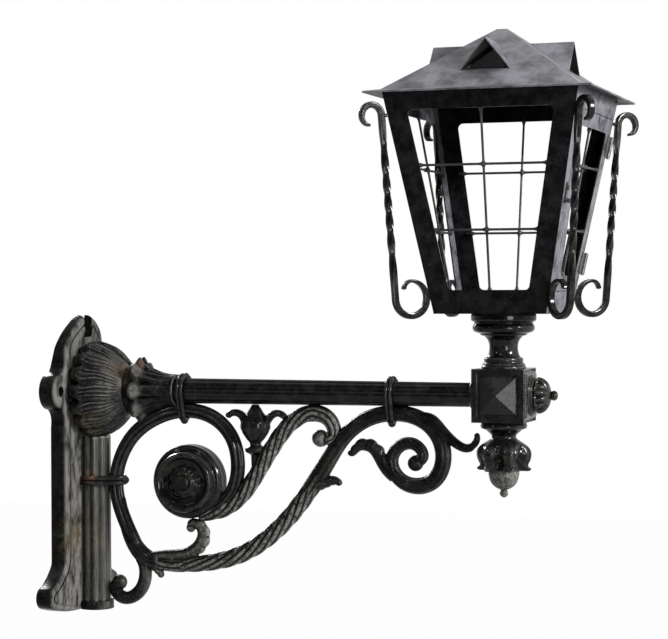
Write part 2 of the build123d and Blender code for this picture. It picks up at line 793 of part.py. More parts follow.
def rod_grille(angle, low, high, near, far):
    """Two level rods on the sheet and one upright rod behind them."""
    plane = face_up(angle)
    behind = (2 * rod_r + sheet_gap) / math.cos(lean)
    mid = (near - far) / 2
    ends = [(Vector(mid, low, rod_place(low) - behind), Vector(mid, high, rod_place(high) - behind))]
    for z in (rod_low_z, rod_high_z):
        left = -(body_half(z) - near + rod_grip)
        right = body_half(z) - far + rod_grip
        ends.append((Vector(left, z, rod_place(z)), Vector(right, z, rod_place(z))))
    with BuildPart() as rods:
        for end_a, end_b in ends:
            start = plane.from_local_coords(end_a)
            run = plane.from_local_coords(end_b) - start
            with BuildSketch(Plane(origin=start, z_dir=run)):
                Circle(rod_r)
            extrude(amount=run.length)
    return rods


face_angles = {"front": 0, "back": 180, "left": 270}
for face_name, face_angle in face_angles.items():
    with BuildPart() as panel:
        add(body_wall(face_angle))
        add(face_cut(face_angle, sill_z, head_z, stile, stile, window_r), mode=Mode.SUBTRACT)
    keep(panel, "panel_" + face_name)
    keep(rod_grille(face_angle, sill_z - rod_grip, head_z + rod_grip, stile, stile), "grille_" + face_name)

door_angle = 90
latch_shift = stile / 2
near_edge = Vector(half_top - half_bottom, half_bottom - half_top, body_top - body_bottom).normalized()
far_edge = Vector(half_top - half_bottom, half_top - half_bottom, body_top - body_bottom).normalized()
door_normal = Vector(math.cos(lean), 0, -math.sin(lean))
back_normal = Vector(0, math.cos(lean), -math.sin(lean))
latch_point = Vector(axis_x + body_half(latch_z), latch_shift - body_half(latch_z), latch_z)
latch_plane = Plane(origin=latch_point, x_dir=near_edge, z_dir=door_normal)

with BuildPart() as door_surround:
    add(body_wall(door_angle))
    add(face_cut(door_angle, door_sill_z, door_head_z, stile, -10, 0), mode=Mode.SUBTRACT)
    with BuildSketch(latch_plane.offset(-2 * sheet_t)):
        Circle(latch_pin_r + sheet_gap)
    extrude(amount=3 * sheet_t, mode=Mode.SUBTRACT)
keep(door_surround, "door_surround")

with BuildPart() as door_frame:
    add(body_wall(door_angle))
    add(face_cut(door_angle, door_sill_z + door_gap, door_head_z - door_gap,
                 stile + door_gap, door_back_edge, 0), mode=Mode.INTERSECT)
    add(face_cut(door_angle, door_sill_z + door_rail, door_head_z - door_rail, stile + door_stile_near,
                 door_stile_far, window_r), mode=Mode.SUBTRACT)
keep(door_frame, "door_frame")

keep(rod_grille(door_angle, door_sill_z + door_rail - rod_grip, door_head_z - door_rail + rod_grip,
                stile + door_stile_near, door_stile_far), "grille_door")

# Hinges along the far corner of the door
edge_out = Vector(1, 1, 0).normalized()
edge_out = (edge_out - far_edge * edge_out.dot(far_edge)).normalized()
knuckle_h = (hinge_h - 2 * knuckle_gap) / 3


def corner_point(z):
    return Vector(axis_x + body_half(z), body_half(z), z)


def pin_round(middle, shift, length, radius):
    """Round on the line of the hinge pin, its middle a given way along it."""
    start = middle + edge_out * barrel_off + far_edge * (shift - length / 2)
    with BuildPart() as piece:
        with BuildSketch(Plane(origin=start, z_dir=far_edge)):
            Circle(radius)
        extrude(amount=length)
    return piece.part


for hinge_name, hinge_z in (("upper", hinge_high_z), ("lower", hinge_low_z)):
    mid_point = corner_point(hinge_z)
    step = knuckle_h + knuckle_gap
    with BuildPart() as hinge_fixed:
        fixed_at = mid_point + back_normal * sheet_gap
        with BuildSketch(Plane(origin=fixed_at, x_dir=far_edge, z_dir=back_normal)):
            with Locations((0, -1)):
                Rectangle(hinge_h, leaf_w, align=(Align.CENTER, Align.MAX))
            with Locations((-step, 1), (step, 1)):
                Rectangle(knuckle_h, 3, align=(Align.CENTER, Align.MAX))
        extrude(amount=leaf_t)
        add(pin_round(mid_point, -step, knuckle_h, barrel_r))
        add(pin_round(mid_point, step, knuckle_h, barrel_r))
        add(pin_round(mid_point, 0, 2 * hinge_h, hinge_pin_r + pin_slack), mode=Mode.SUBTRACT)
    keep(hinge_fixed, "hinge_leaf_fixed_" + hinge_name)
    with BuildPart() as hinge_door:
        door_at = mid_point + door_normal * sheet_gap
        with BuildSketch(Plane(origin=door_at, x_dir=far_edge, z_dir=door_normal)):
            with Locations((0, 1)):
                Rectangle(hinge_h, leaf_w, align=(Align.CENTER, Align.MIN))
            with Locations((0, -1)):
                Rectangle(knuckle_h, 3, align=(Align.CENTER, Align.MIN))
        extrude(amount=leaf_t)
        add(pin_round(mid_point, 0, knuckle_h, barrel_r))
        add(pin_round(mid_point, 0, 2 * hinge_h, hinge_pin_r + pin_slack), mode=Mode.SUBTRACT)
    keep(hinge_door, "hinge_leaf_door_" + hinge_name)
    with BuildPart() as hinge_pin:
        add(pin_round(mid_point, 0, hinge_h + 2, hinge_pin_r))
        for end in (-1, 1):
            add(pin_round(mid_point, end * (hinge_h / 2 + pin_slack + 0.6), 1.2, barrel_r - 0.4))
    keep(hinge_pin, "hinge_pin_" + hinge_name)

# Turn button that holds the door shut, hanging clear of it
with BuildPart() as latch_button:
    with BuildSketch(latch_plane.offset(cast_fit)):
        with BuildLine():
            Line((latch_short - latch_w / 2, latch_w / 2), (latch_w / 2 - latch_long, latch_w / 2))
            ThreePointArc((latch_w / 2 - latch_long, latch_w / 2), (-latch_long, 0),
                          (latch_w / 2 - latch_long, -latch_w / 2))
            Line((latch_w / 2 - latch_long, -latch_w / 2), (latch_short - latch_w / 2, -latch_w / 2))
            ThreePointArc((latch_short - latch_w / 2, -latch_w / 2), (latch_short, 0),
                          (latch_short - latch_w / 2, latch_w / 2))
        make_face()
        Circle(latch_pin_r + pin_slack, mode=Mode.SUBTRACT)
    extrude(amount=latch_t)
    with BuildSketch(latch_plane.offset(cast_fit + latch_t)):
        with Locations((latch_w / 2 - latch_long, 0)):
            Circle(2.6)
    extrude(amount=5)
keep(latch_button, "latch_button")

with BuildPart() as latch_rivet:
    with BuildSketch(latch_plane.offset(-sheet_t - 1.5)):
        Circle(latch_pin_r)
    extrude(amount=sheet_t + 1.5 + 2 * cast_fit + latch_t)
    with BuildSketch(latch_plane.offset(2 * cast_fit + latch_t)):
        Circle(3)
    extrude(amount=1.4)
    with BuildSketch(latch_plane.offset(-sheet_t - sheet_gap)):
        Circle(3)
    extrude(amount=-1.4)
keep(latch_rivet, "latch_rivet")

# Roof: a sheet pyramid with a drooping brim and four open vents
pitch = math.tan(math.radians(roof_pitch))
eave_z = body_top + sheet_gap - pitch * (roof_half - half_top)
roof_rise = pitch * (roof_half - apex_half)


def roof_under(lift):
    """Everything under the roof surface, raised by a given amount."""
    with BuildPart() as under:
        for half_a, z_a, half_b, z_b in ((brim_half, eave_z - brim_drop, roof_half, eave_z),
                                         (roof_half, eave_z, apex_half, eave_z + roof_rise)):
            with BuildSketch(face_flat(0, z_a + lift)):
                Rectangle(2 * half_a, 2 * half_a)
            with BuildSketch(face_flat(0, z_b + lift)):
                Rectangle(2 * half_b, 2 * half_b)
            loft()
        with BuildSketch(face_flat(0, eave_z - brim_drop)):
            Rectangle(2 * brim_half, 2 * brim_half)
        extrude(amount=lift)
    return under.part


roof_lift = roof_t / math.cos(math.radians(roof_pitch))
with BuildPart() as roof:
    add(roof_under(roof_lift))
    for half_a, z_a, half_b, z_b in ((brim_half, eave_z - brim_drop, roof_half, eave_z),
                                     (roof_half, eave_z, apex_half, eave_z + roof_rise)):
        with BuildSketch(face_flat(0, z_a)):
            Rectangle(2 * half_a, 2 * half_a)
        with BuildSketch(face_flat(0, z_b)):
            Rectangle(2 * half_b, 2 * half_b)
        loft(mode=Mode.SUBTRACT)
    for vent_angle in (0, 90, 180, 270):
        with BuildSketch(face_flat(vent_angle, body_top)):
            with BuildLine():
                Polyline((7 - vent_half, 4 - vent_front), (vent_half - 7, 4 - vent_front),
                         (0, -vent_front / 2), close=True)
            make_face()
        extrude(amount=roof_rise, mode=Mode.SUBTRACT)
keep(roof, "roof")


def roof_height(reach):
    return eave_z + roof_lift + pitch * (roof_half - reach)


vent_rise = roof_height(vent_back + 11) - roof_height(vent_front)
vent_slope = vent_rise / vent_half
vent_names = {"front": 0, "outer": 90, "back": 180, "wall": 270}
for vent_name, vent_angle in vent_names.items():
    vent_top = roof_height(vent_front) + vent_rise
    vent_low = roof_height(vent_front) - 8 * vent_slope
    with BuildPart() as vent:
        with BuildSketch(face_up(vent_angle, vent_back)):
            with BuildLine():
                Polyline((-vent_half - 8, vent_low), (0, vent_top), (vent_half + 8, vent_low),
                         (vent_half + 8, vent_low - vent_fold), (0, vent_top - vent_fold),
                         (-vent_half - 8, vent_low - vent_fold), close=True)
            make_face()
        extrude(amount=vent_front - vent_back)
        add(roof_under(roof_lift + sheet_gap), mode=Mode.SUBTRACT)
    keep(vent, "vent_hood_" + vent_name)

# Corner scrolls of square bar, one in each diagonal plane
diag = math.sqrt(2)
bar_half = corner_bar / 2
corner_slope = diag * (half_top - half_bottom) / (body_top - body_bottom)
bar_top_r = diag * body_half(hook_z) + bar_half + scroll_stand
curl_room = (curl_r + bar_half) * math.hypot(1, corner_slope)
curl_mid_r = diag * body_half(curl_z + 0.08 * curl_r) + weld_gap + curl_room
scroll_names = {"near_outer": -45, "far_outer": 45, "far_wall": 135, "near_wall": 225}
for scroll_name, scroll_angle in scroll_names.items():
    turn = math.radians(scroll_angle)
    diagonal = Plane(origin=(axis_x, 0, 0), x_dir=(math.cos(turn), math.sin(turn), 0),
                     z_dir=(math.sin(turn), -math.cos(turn), 0))
    with BuildPart() as corner_scroll:
        with BuildLine(diagonal) as bend:
            stem = Line((bar_top_r, hook_z), (curl_mid_r + curl_r, curl_z))
            hook = JernArc(stem @ 0, (stem % 0) * -1, hook_r, -200)
            JernArc(hook @ 1, hook % 1, hook_r - 3, -70)
            curl = JernArc(stem @ 1, stem % 1, curl_r, -262)
            JernArc(curl @ 1, curl % 1, curl_r / 2, -95)
        run = bend.wires()[0]
        with BuildSketch(Plane(origin=run @ 0, x_dir=diagonal.z_dir, z_dir=run % 0)):
            Rectangle(corner_bar, corner_bar)
        sweep(path=run)
    keep(corner_scroll, "corner_scroll_" + scroll_name)

# Studs that hold the upper ends of the corner scrolls off the body
with BuildPart() as scroll_studs:
    for scroll_angle in scroll_names.values():
        turn = math.radians(scroll_angle)
        out = Vector(math.cos(turn), math.sin(turn), 0)
        foot_at = Vector(axis_x, 0, hook_z) + out * (diag * body_half(hook_z + stud_r) + sheet_gap)
        with BuildSketch(Plane(origin=foot_at, z_dir=out)):
            Circle(stud_r)
        stud_lean = diag * (body_half(hook_z + stud_r) - body_half(hook_z))
        extrude(amount=scroll_stand - sheet_gap - stud_lean - 2 * weld_gap)
keep(scroll_studs, "scroll_studs")

# Lamp holder on the top of the stem
with BuildPart() as lamp_holder:
    with BuildSketch(Plane.XY.offset(holder_z)):
        with Locations((axis_x, 0)):
            Circle(holder_r)
    extrude(amount=holder_top - holder_z)
    with BuildSketch(Plane.XY.offset(socket_floor_z)):
        with Locations((axis_x, 0)):
            Circle(socket_bore_r)
    extrude(amount=holder_top - socket_floor_z, mode=Mode.SUBTRACT)
    with BuildSketch(Plane.XY.offset(holder_z)):
        with Locations((axis_x, 0)):
            Circle(stem_r + cast_fit)
    extrude(amount=6, mode=Mode.SUBTRACT)
    with BuildSketch(Plane.XY.offset(holder_z)):
        with Locations((axis_x, 0)):
            Circle(2)
    extrude(amount=socket_floor_z - holder_z, mode=Mode.SUBTRACT)
keep(lamp_holder, "lamp_holder")

with BuildPart() as lamp_shell:
    with BuildSketch(Plane.XY.offset(socket_floor_z)):
        with Locations((axis_x, 0)):
            Circle(socket_bore_r - cast_fit)
            Circle(socket_bore_r - cast_fit - shell_t, mode=Mode.SUBTRACT)
    extrude(amount=holder_top - socket_floor_z - 2)
keep(lamp_shell, "lamp_shell")

with BuildPart() as lamp_contact:
    with BuildSketch(Plane.XY.offset(socket_floor_z)):
        with Locations((axis_x, 0)):
            Circle(4)
    extrude(amount=1.5)
keep(lamp_contact, "lamp_contact")
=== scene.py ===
"""Looks of the wall lantern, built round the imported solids.

Sizes are in millimetres, apart from those of the lamps, which are in metres.
"""

import json
import math

import bmesh
import bpy
import numpy as np
from mathutils import Matrix, Vector


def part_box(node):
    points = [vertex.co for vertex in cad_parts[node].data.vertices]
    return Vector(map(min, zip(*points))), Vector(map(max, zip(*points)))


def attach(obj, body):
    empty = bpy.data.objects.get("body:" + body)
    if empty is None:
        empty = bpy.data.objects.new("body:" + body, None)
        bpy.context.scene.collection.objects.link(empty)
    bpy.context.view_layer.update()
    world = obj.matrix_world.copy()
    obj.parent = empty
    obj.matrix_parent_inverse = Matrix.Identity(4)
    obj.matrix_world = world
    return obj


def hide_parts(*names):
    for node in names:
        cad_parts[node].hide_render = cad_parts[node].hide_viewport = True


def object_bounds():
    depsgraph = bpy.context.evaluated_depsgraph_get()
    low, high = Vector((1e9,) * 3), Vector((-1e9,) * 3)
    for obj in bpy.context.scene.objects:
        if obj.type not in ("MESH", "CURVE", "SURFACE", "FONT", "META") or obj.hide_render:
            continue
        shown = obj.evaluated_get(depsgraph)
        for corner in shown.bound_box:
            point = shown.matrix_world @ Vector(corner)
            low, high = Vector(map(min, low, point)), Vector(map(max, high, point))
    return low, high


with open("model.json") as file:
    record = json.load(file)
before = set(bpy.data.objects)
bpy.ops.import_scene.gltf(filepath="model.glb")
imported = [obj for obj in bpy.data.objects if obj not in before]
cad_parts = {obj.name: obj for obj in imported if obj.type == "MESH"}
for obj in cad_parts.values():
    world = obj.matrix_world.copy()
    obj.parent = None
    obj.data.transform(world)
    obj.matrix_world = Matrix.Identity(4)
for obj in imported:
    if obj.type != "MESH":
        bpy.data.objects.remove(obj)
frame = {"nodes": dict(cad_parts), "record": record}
cad_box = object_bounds()
nodes = frame["nodes"]

MM = 0.001
TURN = 2 * math.pi
OUT = np.array((1.0, 0.0, 0.0))
FAR = np.array((0.0, 1.0, 0.0))
UP = np.array((0.0, 0.0, 1.0))

# Bracket
plate_t = 22
plate_top = 94
plate_bottom = -274
cup_end_x = 83
socket_end_x = 145
cup_bore = 16.6
cup_slot = 12
plate_slot = 21
hole_y = 68
hole_r = 6.5
column_x = 34
column_reach = 19.1
column_foot_z = -262
column_head_z = -61
band_z = -112
root_x = 62.6
arm_start_x = 8
arm_end_x = 525
arm_start_r = 16.4
arm_end_r = 14.6
arm_slot = 11
arm_bore = 9
tenon_r = 11.5
tenon_length = 14
bar_r = 8.5
rope_r = 9.5
collar_xs = {"inner": 154, "outer": 420}
drum_x = 161
drum_z = -111
drum_r = 45
drum_bore = 4.2
bud_x = 247
fuse_grain = 0.7
strap_t = 2.4
strap_off = 2.2
strap_off_bar = 2.3
band_opening = 36

# Lantern
axis_x = 556
block_half = 31
point_h = 11
neck_top = 95
body_bottom = 97
body_top = 347
half_bottom = 66
half_top = 112.5
sheet_t = 1.6
stile = 24
rod_r = 1.4
rod_zs = (190, 263)
rod_lap = 7
weld_run = 2.6
weld_swell = 0.95
window_zs = (115, 332)
door_window_zs = (131, 313)
door_rim = 22
corner_bar = 7

# Camera of the photo, fitted to its outline. Its width and focus are in pixels, its turns in degrees
photo_w = 668
photo_focus = 2046
photo_azimuth = 18.8
photo_elevation = 0.885
photo_roll = -0.19
photo_from = (1135, -2312, 125)
sensor_w = 36

# Stage. The lamps are (place, target, size, watts) in metres
floor_drop = 900
floor_half = 9000
floor_white = 0.985
lamps = {
    "right_box": ((2.3, -0.5, 0.8), (0.45, 0, 0.05), 0.5, 105),
    "top_box": ((0.5, 0.1, 2.2), (0.45, 0, 0.1), 0.8, 18),
    "left_box": ((-1.2, -1.8, 1.0), (0.2, 0, -0.1), 0.25, 7),
    "side_box": ((2.05, -1.93, 0.05), (0.5, 0, 0), 0.8, 30),
    "front_box": ((0.1, -2.3, 1.8), (0.4, 0, 0), 0.25, 11),
    "back_box": ((-1.5, 1.9, 1.0), (0.35, 0, 0.05), 0.6, 40),
}


def arm_r(x):
    """Radius of the tapered arm."""
    return arm_start_r + (arm_end_r - arm_start_r) * (x - arm_start_x) / (arm_end_x - arm_start_x)


def body_half(z):
    """Half width of the lantern's body."""
    return half_bottom + (half_top - half_bottom) * (z - body_bottom) / (body_top - body_bottom)


# Curves and skins

def lengths(line):
    """Length along a line at each of its points."""
    return np.concatenate([[0], np.cumsum(np.linalg.norm(np.diff(line, axis=0), axis=1))])


def even(curve, step):
    """The same line, as evenly spaced points."""
    curve = np.asarray(curve, float)
    along = lengths(curve)
    count = max(4, int(round(along[-1] / step)) + 1)
    wanted = np.linspace(0, along[-1], count)
    return np.stack([np.interp(wanted, along, curve[:, k]) for k in range(curve.shape[1])], axis=1)


def smooth_line(points, step):
    """Evenly spaced points on a natural cubic curve through the given points."""
    p = np.array(points, float)
    knots = lengths(p)
    gaps = np.diff(knots)
    count = len(p)
    left = np.eye(count)
    right = np.zeros_like(p)
    for i in range(1, count - 1):
        left[i, i - 1:i + 2] = gaps[i - 1], 2 * (gaps[i - 1] + gaps[i]), gaps[i]
        right[i] = 6 * ((p[i + 1] - p[i]) / gaps[i] - (p[i] - p[i - 1]) / gaps[i - 1])
    bend = np.linalg.solve(left, right)
    fine = np.linspace(0, knots[-1], 60 * count)
    k = np.clip(np.searchsorted(knots, fine) - 1, 0, count - 2)
    w = gaps[k][:, None]
    u = fine[:, None] - knots[k][:, None]
    v = w - u
    curve = (bend[k] * v ** 3 + bend[k + 1] * u ** 3) / (6 * w)
    curve += (p[k] / w - bend[k] * w / 6) * v + (p[k + 1] / w - bend[k + 1] * w / 6) * u
    return even(curve, step)


def rounded(points, step):
    """Rounded stretch of an outline."""
    return smooth_line(points, step).tolist()


def in_bracket(points, step=1.4):
    """Bend drawn as (x, z) points in the plane of the bracket."""
    line = smooth_line(points, step)
    return np.stack([line[:, 0], np.zeros(len(line)), line[:, 1]], axis=1)


def ramp(value, low, high):
    """0 below low, 1 above high, smooth between."""
    t = np.clip((np.asarray(value, float) - low) / (high - low), 0, 1)
    return t * t * (3 - 2 * t)


def between(value, start, full, fade, end):
    """1 from full to fade, 0 before start and after end."""
    return ramp(value, start, full) * (1 - ramp(value, fade, end))


def lobes(angle, count, sharp=1.0):
    """0 on the crown of each of count lobes, 1 in the grooves between them."""
    return (1 - np.abs(np.cos(angle * count / 2))) ** sharp


def skin(rows, loop=False, open_ring=False):
    """Closed mesh over rows of rings.

    loop joins the last row to the first, and open_ring leaves a gap in each ring.
    """
    count, ring = rows.shape[:2]
    faces = []
    for i in range(count if loop else count - 1):
        below = i * ring
        above = (i + 1) % count * ring
        for j in range(ring - 1 if open_ring else ring):
            k = (j + 1) % ring
            faces.append((below + j, below + k, above + k, above + j))
    if open_ring:
        faces.append(tuple(i * ring for i in range(count)))
        faces.append(tuple(i * ring + ring - 1 for i in reversed(range(count))))
    elif not loop:
        faces.append(tuple(reversed(range(ring))))
        faces.append(tuple((count - 1) * ring + j for j in range(ring)))
    return rows.reshape(-1, 3), faces


def join(*shapes):
    """Several shapes as one."""
    points, faces, start = [], [], 0
    for more_points, more_faces in shapes:
        points.append(more_points)
        faces += [tuple(start + i for i in face) for face in more_faces]
        start += len(more_points)
    return np.concatenate(points), faces


def tube(path, side, section, sides=32):
    """Skin round a path. section(s, a, length) gives the offsets in the plane of the bend and along side."""
    path = np.asarray(path, float)
    run = np.gradient(path, axis=0)
    run /= np.linalg.norm(run, axis=1)[:, None]
    across = np.cross(side, run)
    across /= np.linalg.norm(across, axis=1)[:, None]
    s = lengths(path)
    angle = np.linspace(0, TURN, sides, endpoint=False)
    a, b = section(s[:, None], angle[None, :], s[-1])
    rows = path[:, None, :] + a[..., None] * across[:, None, :] + b[..., None] * side
    return skin(rows)


def closed_ends(s, length, radius):
    """Share of the radius near the ends of a bar, so that they close as half balls."""
    near = np.clip(np.minimum(s, length - s) / radius, 0, 1)
    return np.sqrt(np.maximum(1 - (1 - near) ** 2, 0.0009))


def round_bar(radius, tip, flat):
    """Section of a round bar that tapers to tip, flattened sideways."""
    def section(s, a, length):
        r = radius + (tip - radius) * ramp(s, 0.25 * length, length)
        r = r * closed_ends(s, length, min(radius, tip))
        return r * np.cos(a), r * np.sin(a) * flat
    return section


def branch(section, points):
    """Small bar in the plane of the bracket."""
    return tube(in_bracket(points, 1), FAR, section)


def leaf_bar(radii, flat, lumps=0.0, lump_run=9.0):
    """Section of a leaf-edged bar whose radii are given as (share of length, radius)."""
    def section(s, a, length):
        r = np.interp(s / length, *zip(*radii)) * closed_ends(s, length, radii[-1][1])
        edge = 1 + lumps * np.abs(np.sin(math.pi * s / lump_run)) * np.clip(np.cos(a), 0, 1)
        return r * np.cos(a) * edge, r * np.sin(a) * flat
    return section


def beaded_bar(radius, beads=8, depth=0.17):
    """Section of a cast bar with rounded ridges along it."""
    def section(s, a, length):
        r = radius * (1 - depth * lobes(a, beads)) * closed_ends(s, length, radius)
        return r * np.cos(a), r * np.sin(a)
    return section


def ball(centre, radius, flat=1.0, rings=20, sides=28):
    """Ball closed by small caps at its poles."""
    polar = np.linspace(0.06, math.pi - 0.06, rings)
    angle = np.linspace(0, TURN, sides, endpoint=False)
    x = np.sin(polar)[:, None] * np.cos(angle)[None, :]
    z = np.sin(polar)[:, None] * np.sin(angle)[None, :]
    y = np.repeat(np.cos(polar)[:, None], sides, axis=1)
    rows = np.stack([x, y * flat, z], axis=2) * radius + np.asarray(centre, float)
    return skin(rows)


def soften(outline, width=1.6, step=0.8):
    """Closed outline with its corners rounded as a casting's are."""
    loop = even(np.array(list(outline) + [outline[0]], float), step)[:-1]
    reach = max(1, int(round(width / step)))
    kernel = np.hanning(2 * reach + 3)[1:-1]
    kernel /= kernel.sum()
    padded = np.concatenate([loop[-reach:], loop, loop[:reach]])
    return np.stack([np.convolve(padded[:, k], kernel, mode="valid") for k in range(2)], axis=1)


def turned(origin, axis, outline, sides, swell=None, slot=0.0, slide=None):
    """Closed outline of (along, radius) turned about an axis.

    swell gives its relief, slide moves points along the axis, and slot is the width of a gap at its top.
    """
    origin = np.asarray(origin, float)
    zero = OUT if axis is UP else UP
    third = np.cross(axis, zero)
    along = outline[:, 0][:, None]
    radius = outline[:, 1][:, None]
    if slot:
        start = np.arcsin(np.clip(slot / 2 / radius, 0, 0.99))
        angle = start + (TURN - 2 * start) * np.linspace(0, 1, sides)[None, :]
    else:
        angle = np.linspace(0, TURN, sides, endpoint=False)[None, :] + 0 * radius
    reach = radius * (swell(along, radius, angle) if swell else 1.0) + 0 * angle
    place = along + (slide(along, radius, angle) if slide else 0.0) + 0 * angle
    rows = origin + place[..., None] * axis + (reach * np.cos(angle))[..., None] * zero
    rows = rows + (reach * np.sin(angle))[..., None] * third
    return skin(rows, loop=True, open_ring=bool(slot))


# Materials

class Graph:
    """Nodes of one material, written as short calls."""

    def __init__(self, material):
        material.use_nodes = True
        self.tree = material.node_tree
        self.tree.nodes.clear()
        self.place = self.tree.nodes.new("ShaderNodeTexCoord").outputs["Object"]

    def new(self, kind, inputs=(), **settings):
        made = self.tree.nodes.new(kind)
        for key, value in settings.items():
            setattr(made, key, value)
        for key, value in dict(inputs).items():
            if isinstance(value, bpy.types.NodeSocket):
                self.tree.links.new(value, made.inputs[key])
            else:
                made.inputs[key].default_value = value
        return made

    def noise(self, size_mm, detail=5.0, rough=0.6, stretch=(1, 1, 1)):
        """Cloudy value whose features are about size_mm across, drawn out by stretch."""
        scale = [1 / (size_mm * MM * k) for k in stretch]
        place = self.new("ShaderNodeMapping", {"Vector": self.place, "Scale": scale}).outputs[0]
        return self.new("ShaderNodeTexNoise", {"Vector": place, "Scale": 1.0, "Detail": detail,
                                               "Roughness": rough}).outputs["Fac"]

    def share(self, value, low, high, kind="LINEAR"):
        """0 at low, 1 at high, even between."""
        return self.new("ShaderNodeMapRange", {"Value": value, "From Min": low, "From Max": high},
                        interpolation_type=kind).outputs[0]

    def band(self, value, low, high):
        """0 at low, 1 at high, smooth between."""
        return self.share(value, low, high, "SMOOTHSTEP")

    def span(self, value, low, high):
        """A value of 0 to 1 laid out between low and high."""
        return self.new("ShaderNodeMapRange", {"Value": value, "To Min": low, "To Max": high}).outputs[0]

    def maths(self, operation, a, b):
        return self.new("ShaderNodeMath", {0: a, 1: b}, operation=operation, use_clamp=True).outputs[0]

    def times(self, a, b):
        return self.maths("MULTIPLY", a, b)

    def mix(self, factor, a, b):
        return self.new("ShaderNodeMix", {0: factor, 6: a, 7: b}, data_type="RGBA").outputs[2]

    def spot(self, centre, radius):
        """1 at a place on the object, fading to 0 at radius."""
        centre = [v * MM for v in centre]
        far = self.new("ShaderNodeVectorMath", {0: self.place, 1: centre}, operation="DISTANCE")
        return self.share(far.outputs["Value"], radius * MM, 0.25 * radius * MM)

    def normal(self):
        return self.new("ShaderNodeNewGeometry").outputs["Normal"]

    def facing(self, axis):
        """How far a face is turned along X, Y or Z, from -1 to 1."""
        return self.new("ShaderNodeSeparateXYZ", {0: self.normal()}).outputs[axis]

    def pointed(self, low, high):
        """1 on edges that stand out, or in hollows where low is above high."""
        return self.band(self.new("ShaderNodeNewGeometry").outputs["Pointiness"], low, high)

    def bump(self, height, distance_mm, strength, under=None):
        inputs = {"Height": height, "Distance": distance_mm * MM, "Strength": strength}
        if under:
            inputs["Normal"] = under
        return self.new("ShaderNodeBump", inputs).outputs[0]

    def finish(self, **inputs):
        shader = self.new("ShaderNodeBsdfPrincipled", {k.replace("_", " "): v for k, v in inputs.items()})
        self.new("ShaderNodeOutputMaterial", {"Surface": shader.outputs[0]})


def rgb(r, g, b):
    return (r, g, b, 1.0)


# Colours of the old paint and of the light and shade painted on it,
# and the places of its stains as (centre, radius)
paint_black = rgb(0.0025, 0.0025, 0.0028)
paint_worn_black = rgb(0.011, 0.0108, 0.0095)
fleck_grey = rgb(0.10, 0.098, 0.090)
film_and_light_grey = rgb(0.16, 0.157, 0.142)
bare_and_light_grey = rgb(0.17, 0.167, 0.158)
hollow_shade_black = rgb(0.005, 0.0047, 0.0036)
ochre_brown = rgb(0.060, 0.046, 0.020)
rust_brown = rgb(0.105, 0.052, 0.024)
speck_grey = rgb(0.16, 0.158, 0.155)
painted_sheen_grey = rgb(0.100, 0.098, 0.112)
soot_and_shade_black = rgb(0.004, 0.004, 0.004)
rust_spots = (((92, -16, 34), 17), ((103, -8, 40), 9), ((36, -22, -105), 12))
ochre_spots = (((76, -24, 20), 26), ((40, -40, -40), 24), ((28, -30, -180), 42))


def cast_paint(name, relief=True, dusty=0.75, flecked=0.35, streak=(1, 1, 1), grey=0.0, shine=0.05,
               grey_at=None, wear=0.8, dust_tone=0.105, fine=False, lumpy=1.0, lit=None,
               clouds=(7, 6, 0.75), coat=0.06):
    """Old black gloss paint over cast iron, grey with dirt and painted light on its outer faces,
    worn and rusted in places.

    relief paints shade into hollows and bares edges, fine does it on small forms. grey is a film of dirt.
    The film and the bare edges can be kept near grey_at, and to the faces turned towards a given direction,
    which paints light on that side. lumpy scales the bumps.
    """
    material = bpy.data.materials.new(name)
    g = Graph(material)
    lumps = g.noise(14)
    grain = g.noise(1.5, 6, 0.7)
    flecks = g.band(g.noise(3.2, 3, 0.75, streak), 0.58, 0.70)
    colour = g.mix(g.band(lumps, 0.42, 0.66), paint_black, paint_worn_black)
    colour = g.mix(g.times(flecks, flecked), colour, fleck_grey)
    # Grey dirt and painted light on faces turned to +X, for the light falling from that side
    dust_and_light = g.times(g.band(g.facing("X"), 0.35, 0.95), g.band(g.noise(*clouds, streak), 0.30, 0.62))
    colour = g.mix(g.times(dust_and_light, dusty), colour, rgb(dust_tone, 0.97 * dust_tone, 0.90 * dust_tone))
    near = g.band(g.spot(*grey_at), 0.0, 0.5) if grey_at else 1.0
    # Painted light: the film and the bare edges are kept to faces turned towards the given direction
    if lit:
        turned_to = g.new("ShaderNodeVectorMath", {0: g.normal(), 1: lit}, operation="DOT_PRODUCT")
        near = g.times(g.band(turned_to.outputs["Value"], -0.5, 0.45), near)
    film = g.times(g.band(g.noise(5, 6, 0.8, streak), 0.36, 0.66), grey)
    colour = g.mix(g.times(film, near), colour, film_and_light_grey)
    for centre, radius in ochre_spots:
        patch = g.times(g.spot(centre, radius), g.band(g.noise(6), 0.35, 0.7))
        colour = g.mix(patch, colour, ochre_brown)
    for centre, radius in rust_spots:
        patch = g.times(g.spot(centre, radius), g.band(g.noise(2.4), 0.38, 0.58))
        colour = g.mix(patch, colour, rust_brown)
    if relief:
        # Painted shade: hollows are darkened towards black
        hollow = g.pointed(*((0.503, 0.496) if fine else (0.50, 0.45)))
        colour = g.mix(g.times(hollow, 0.85), colour, hollow_shade_black)
        edges = g.pointed(*((0.504, 0.511) if fine else (0.507, 0.57)))
        worn = g.times(g.times(edges, g.band(g.noise(4), 0.34, 0.60)), wear)
        colour = g.mix(g.times(worn, near), colour, bare_and_light_grey)
    normal = g.bump(grain, 0.6, 0.7 * lumpy, g.bump(lumps, 1.8, 0.4 * lumpy))
    g.finish(Base_Color=colour, Roughness=g.span(g.noise(5), 0.10, 0.34), Specular_IOR_Level=shine,
             Normal=normal, Coat_Weight=coat, Coat_Roughness=0.08)
    return material


hood_low, hood_high = (v[2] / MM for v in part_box("vent_hood_front"))
hood_half = 30


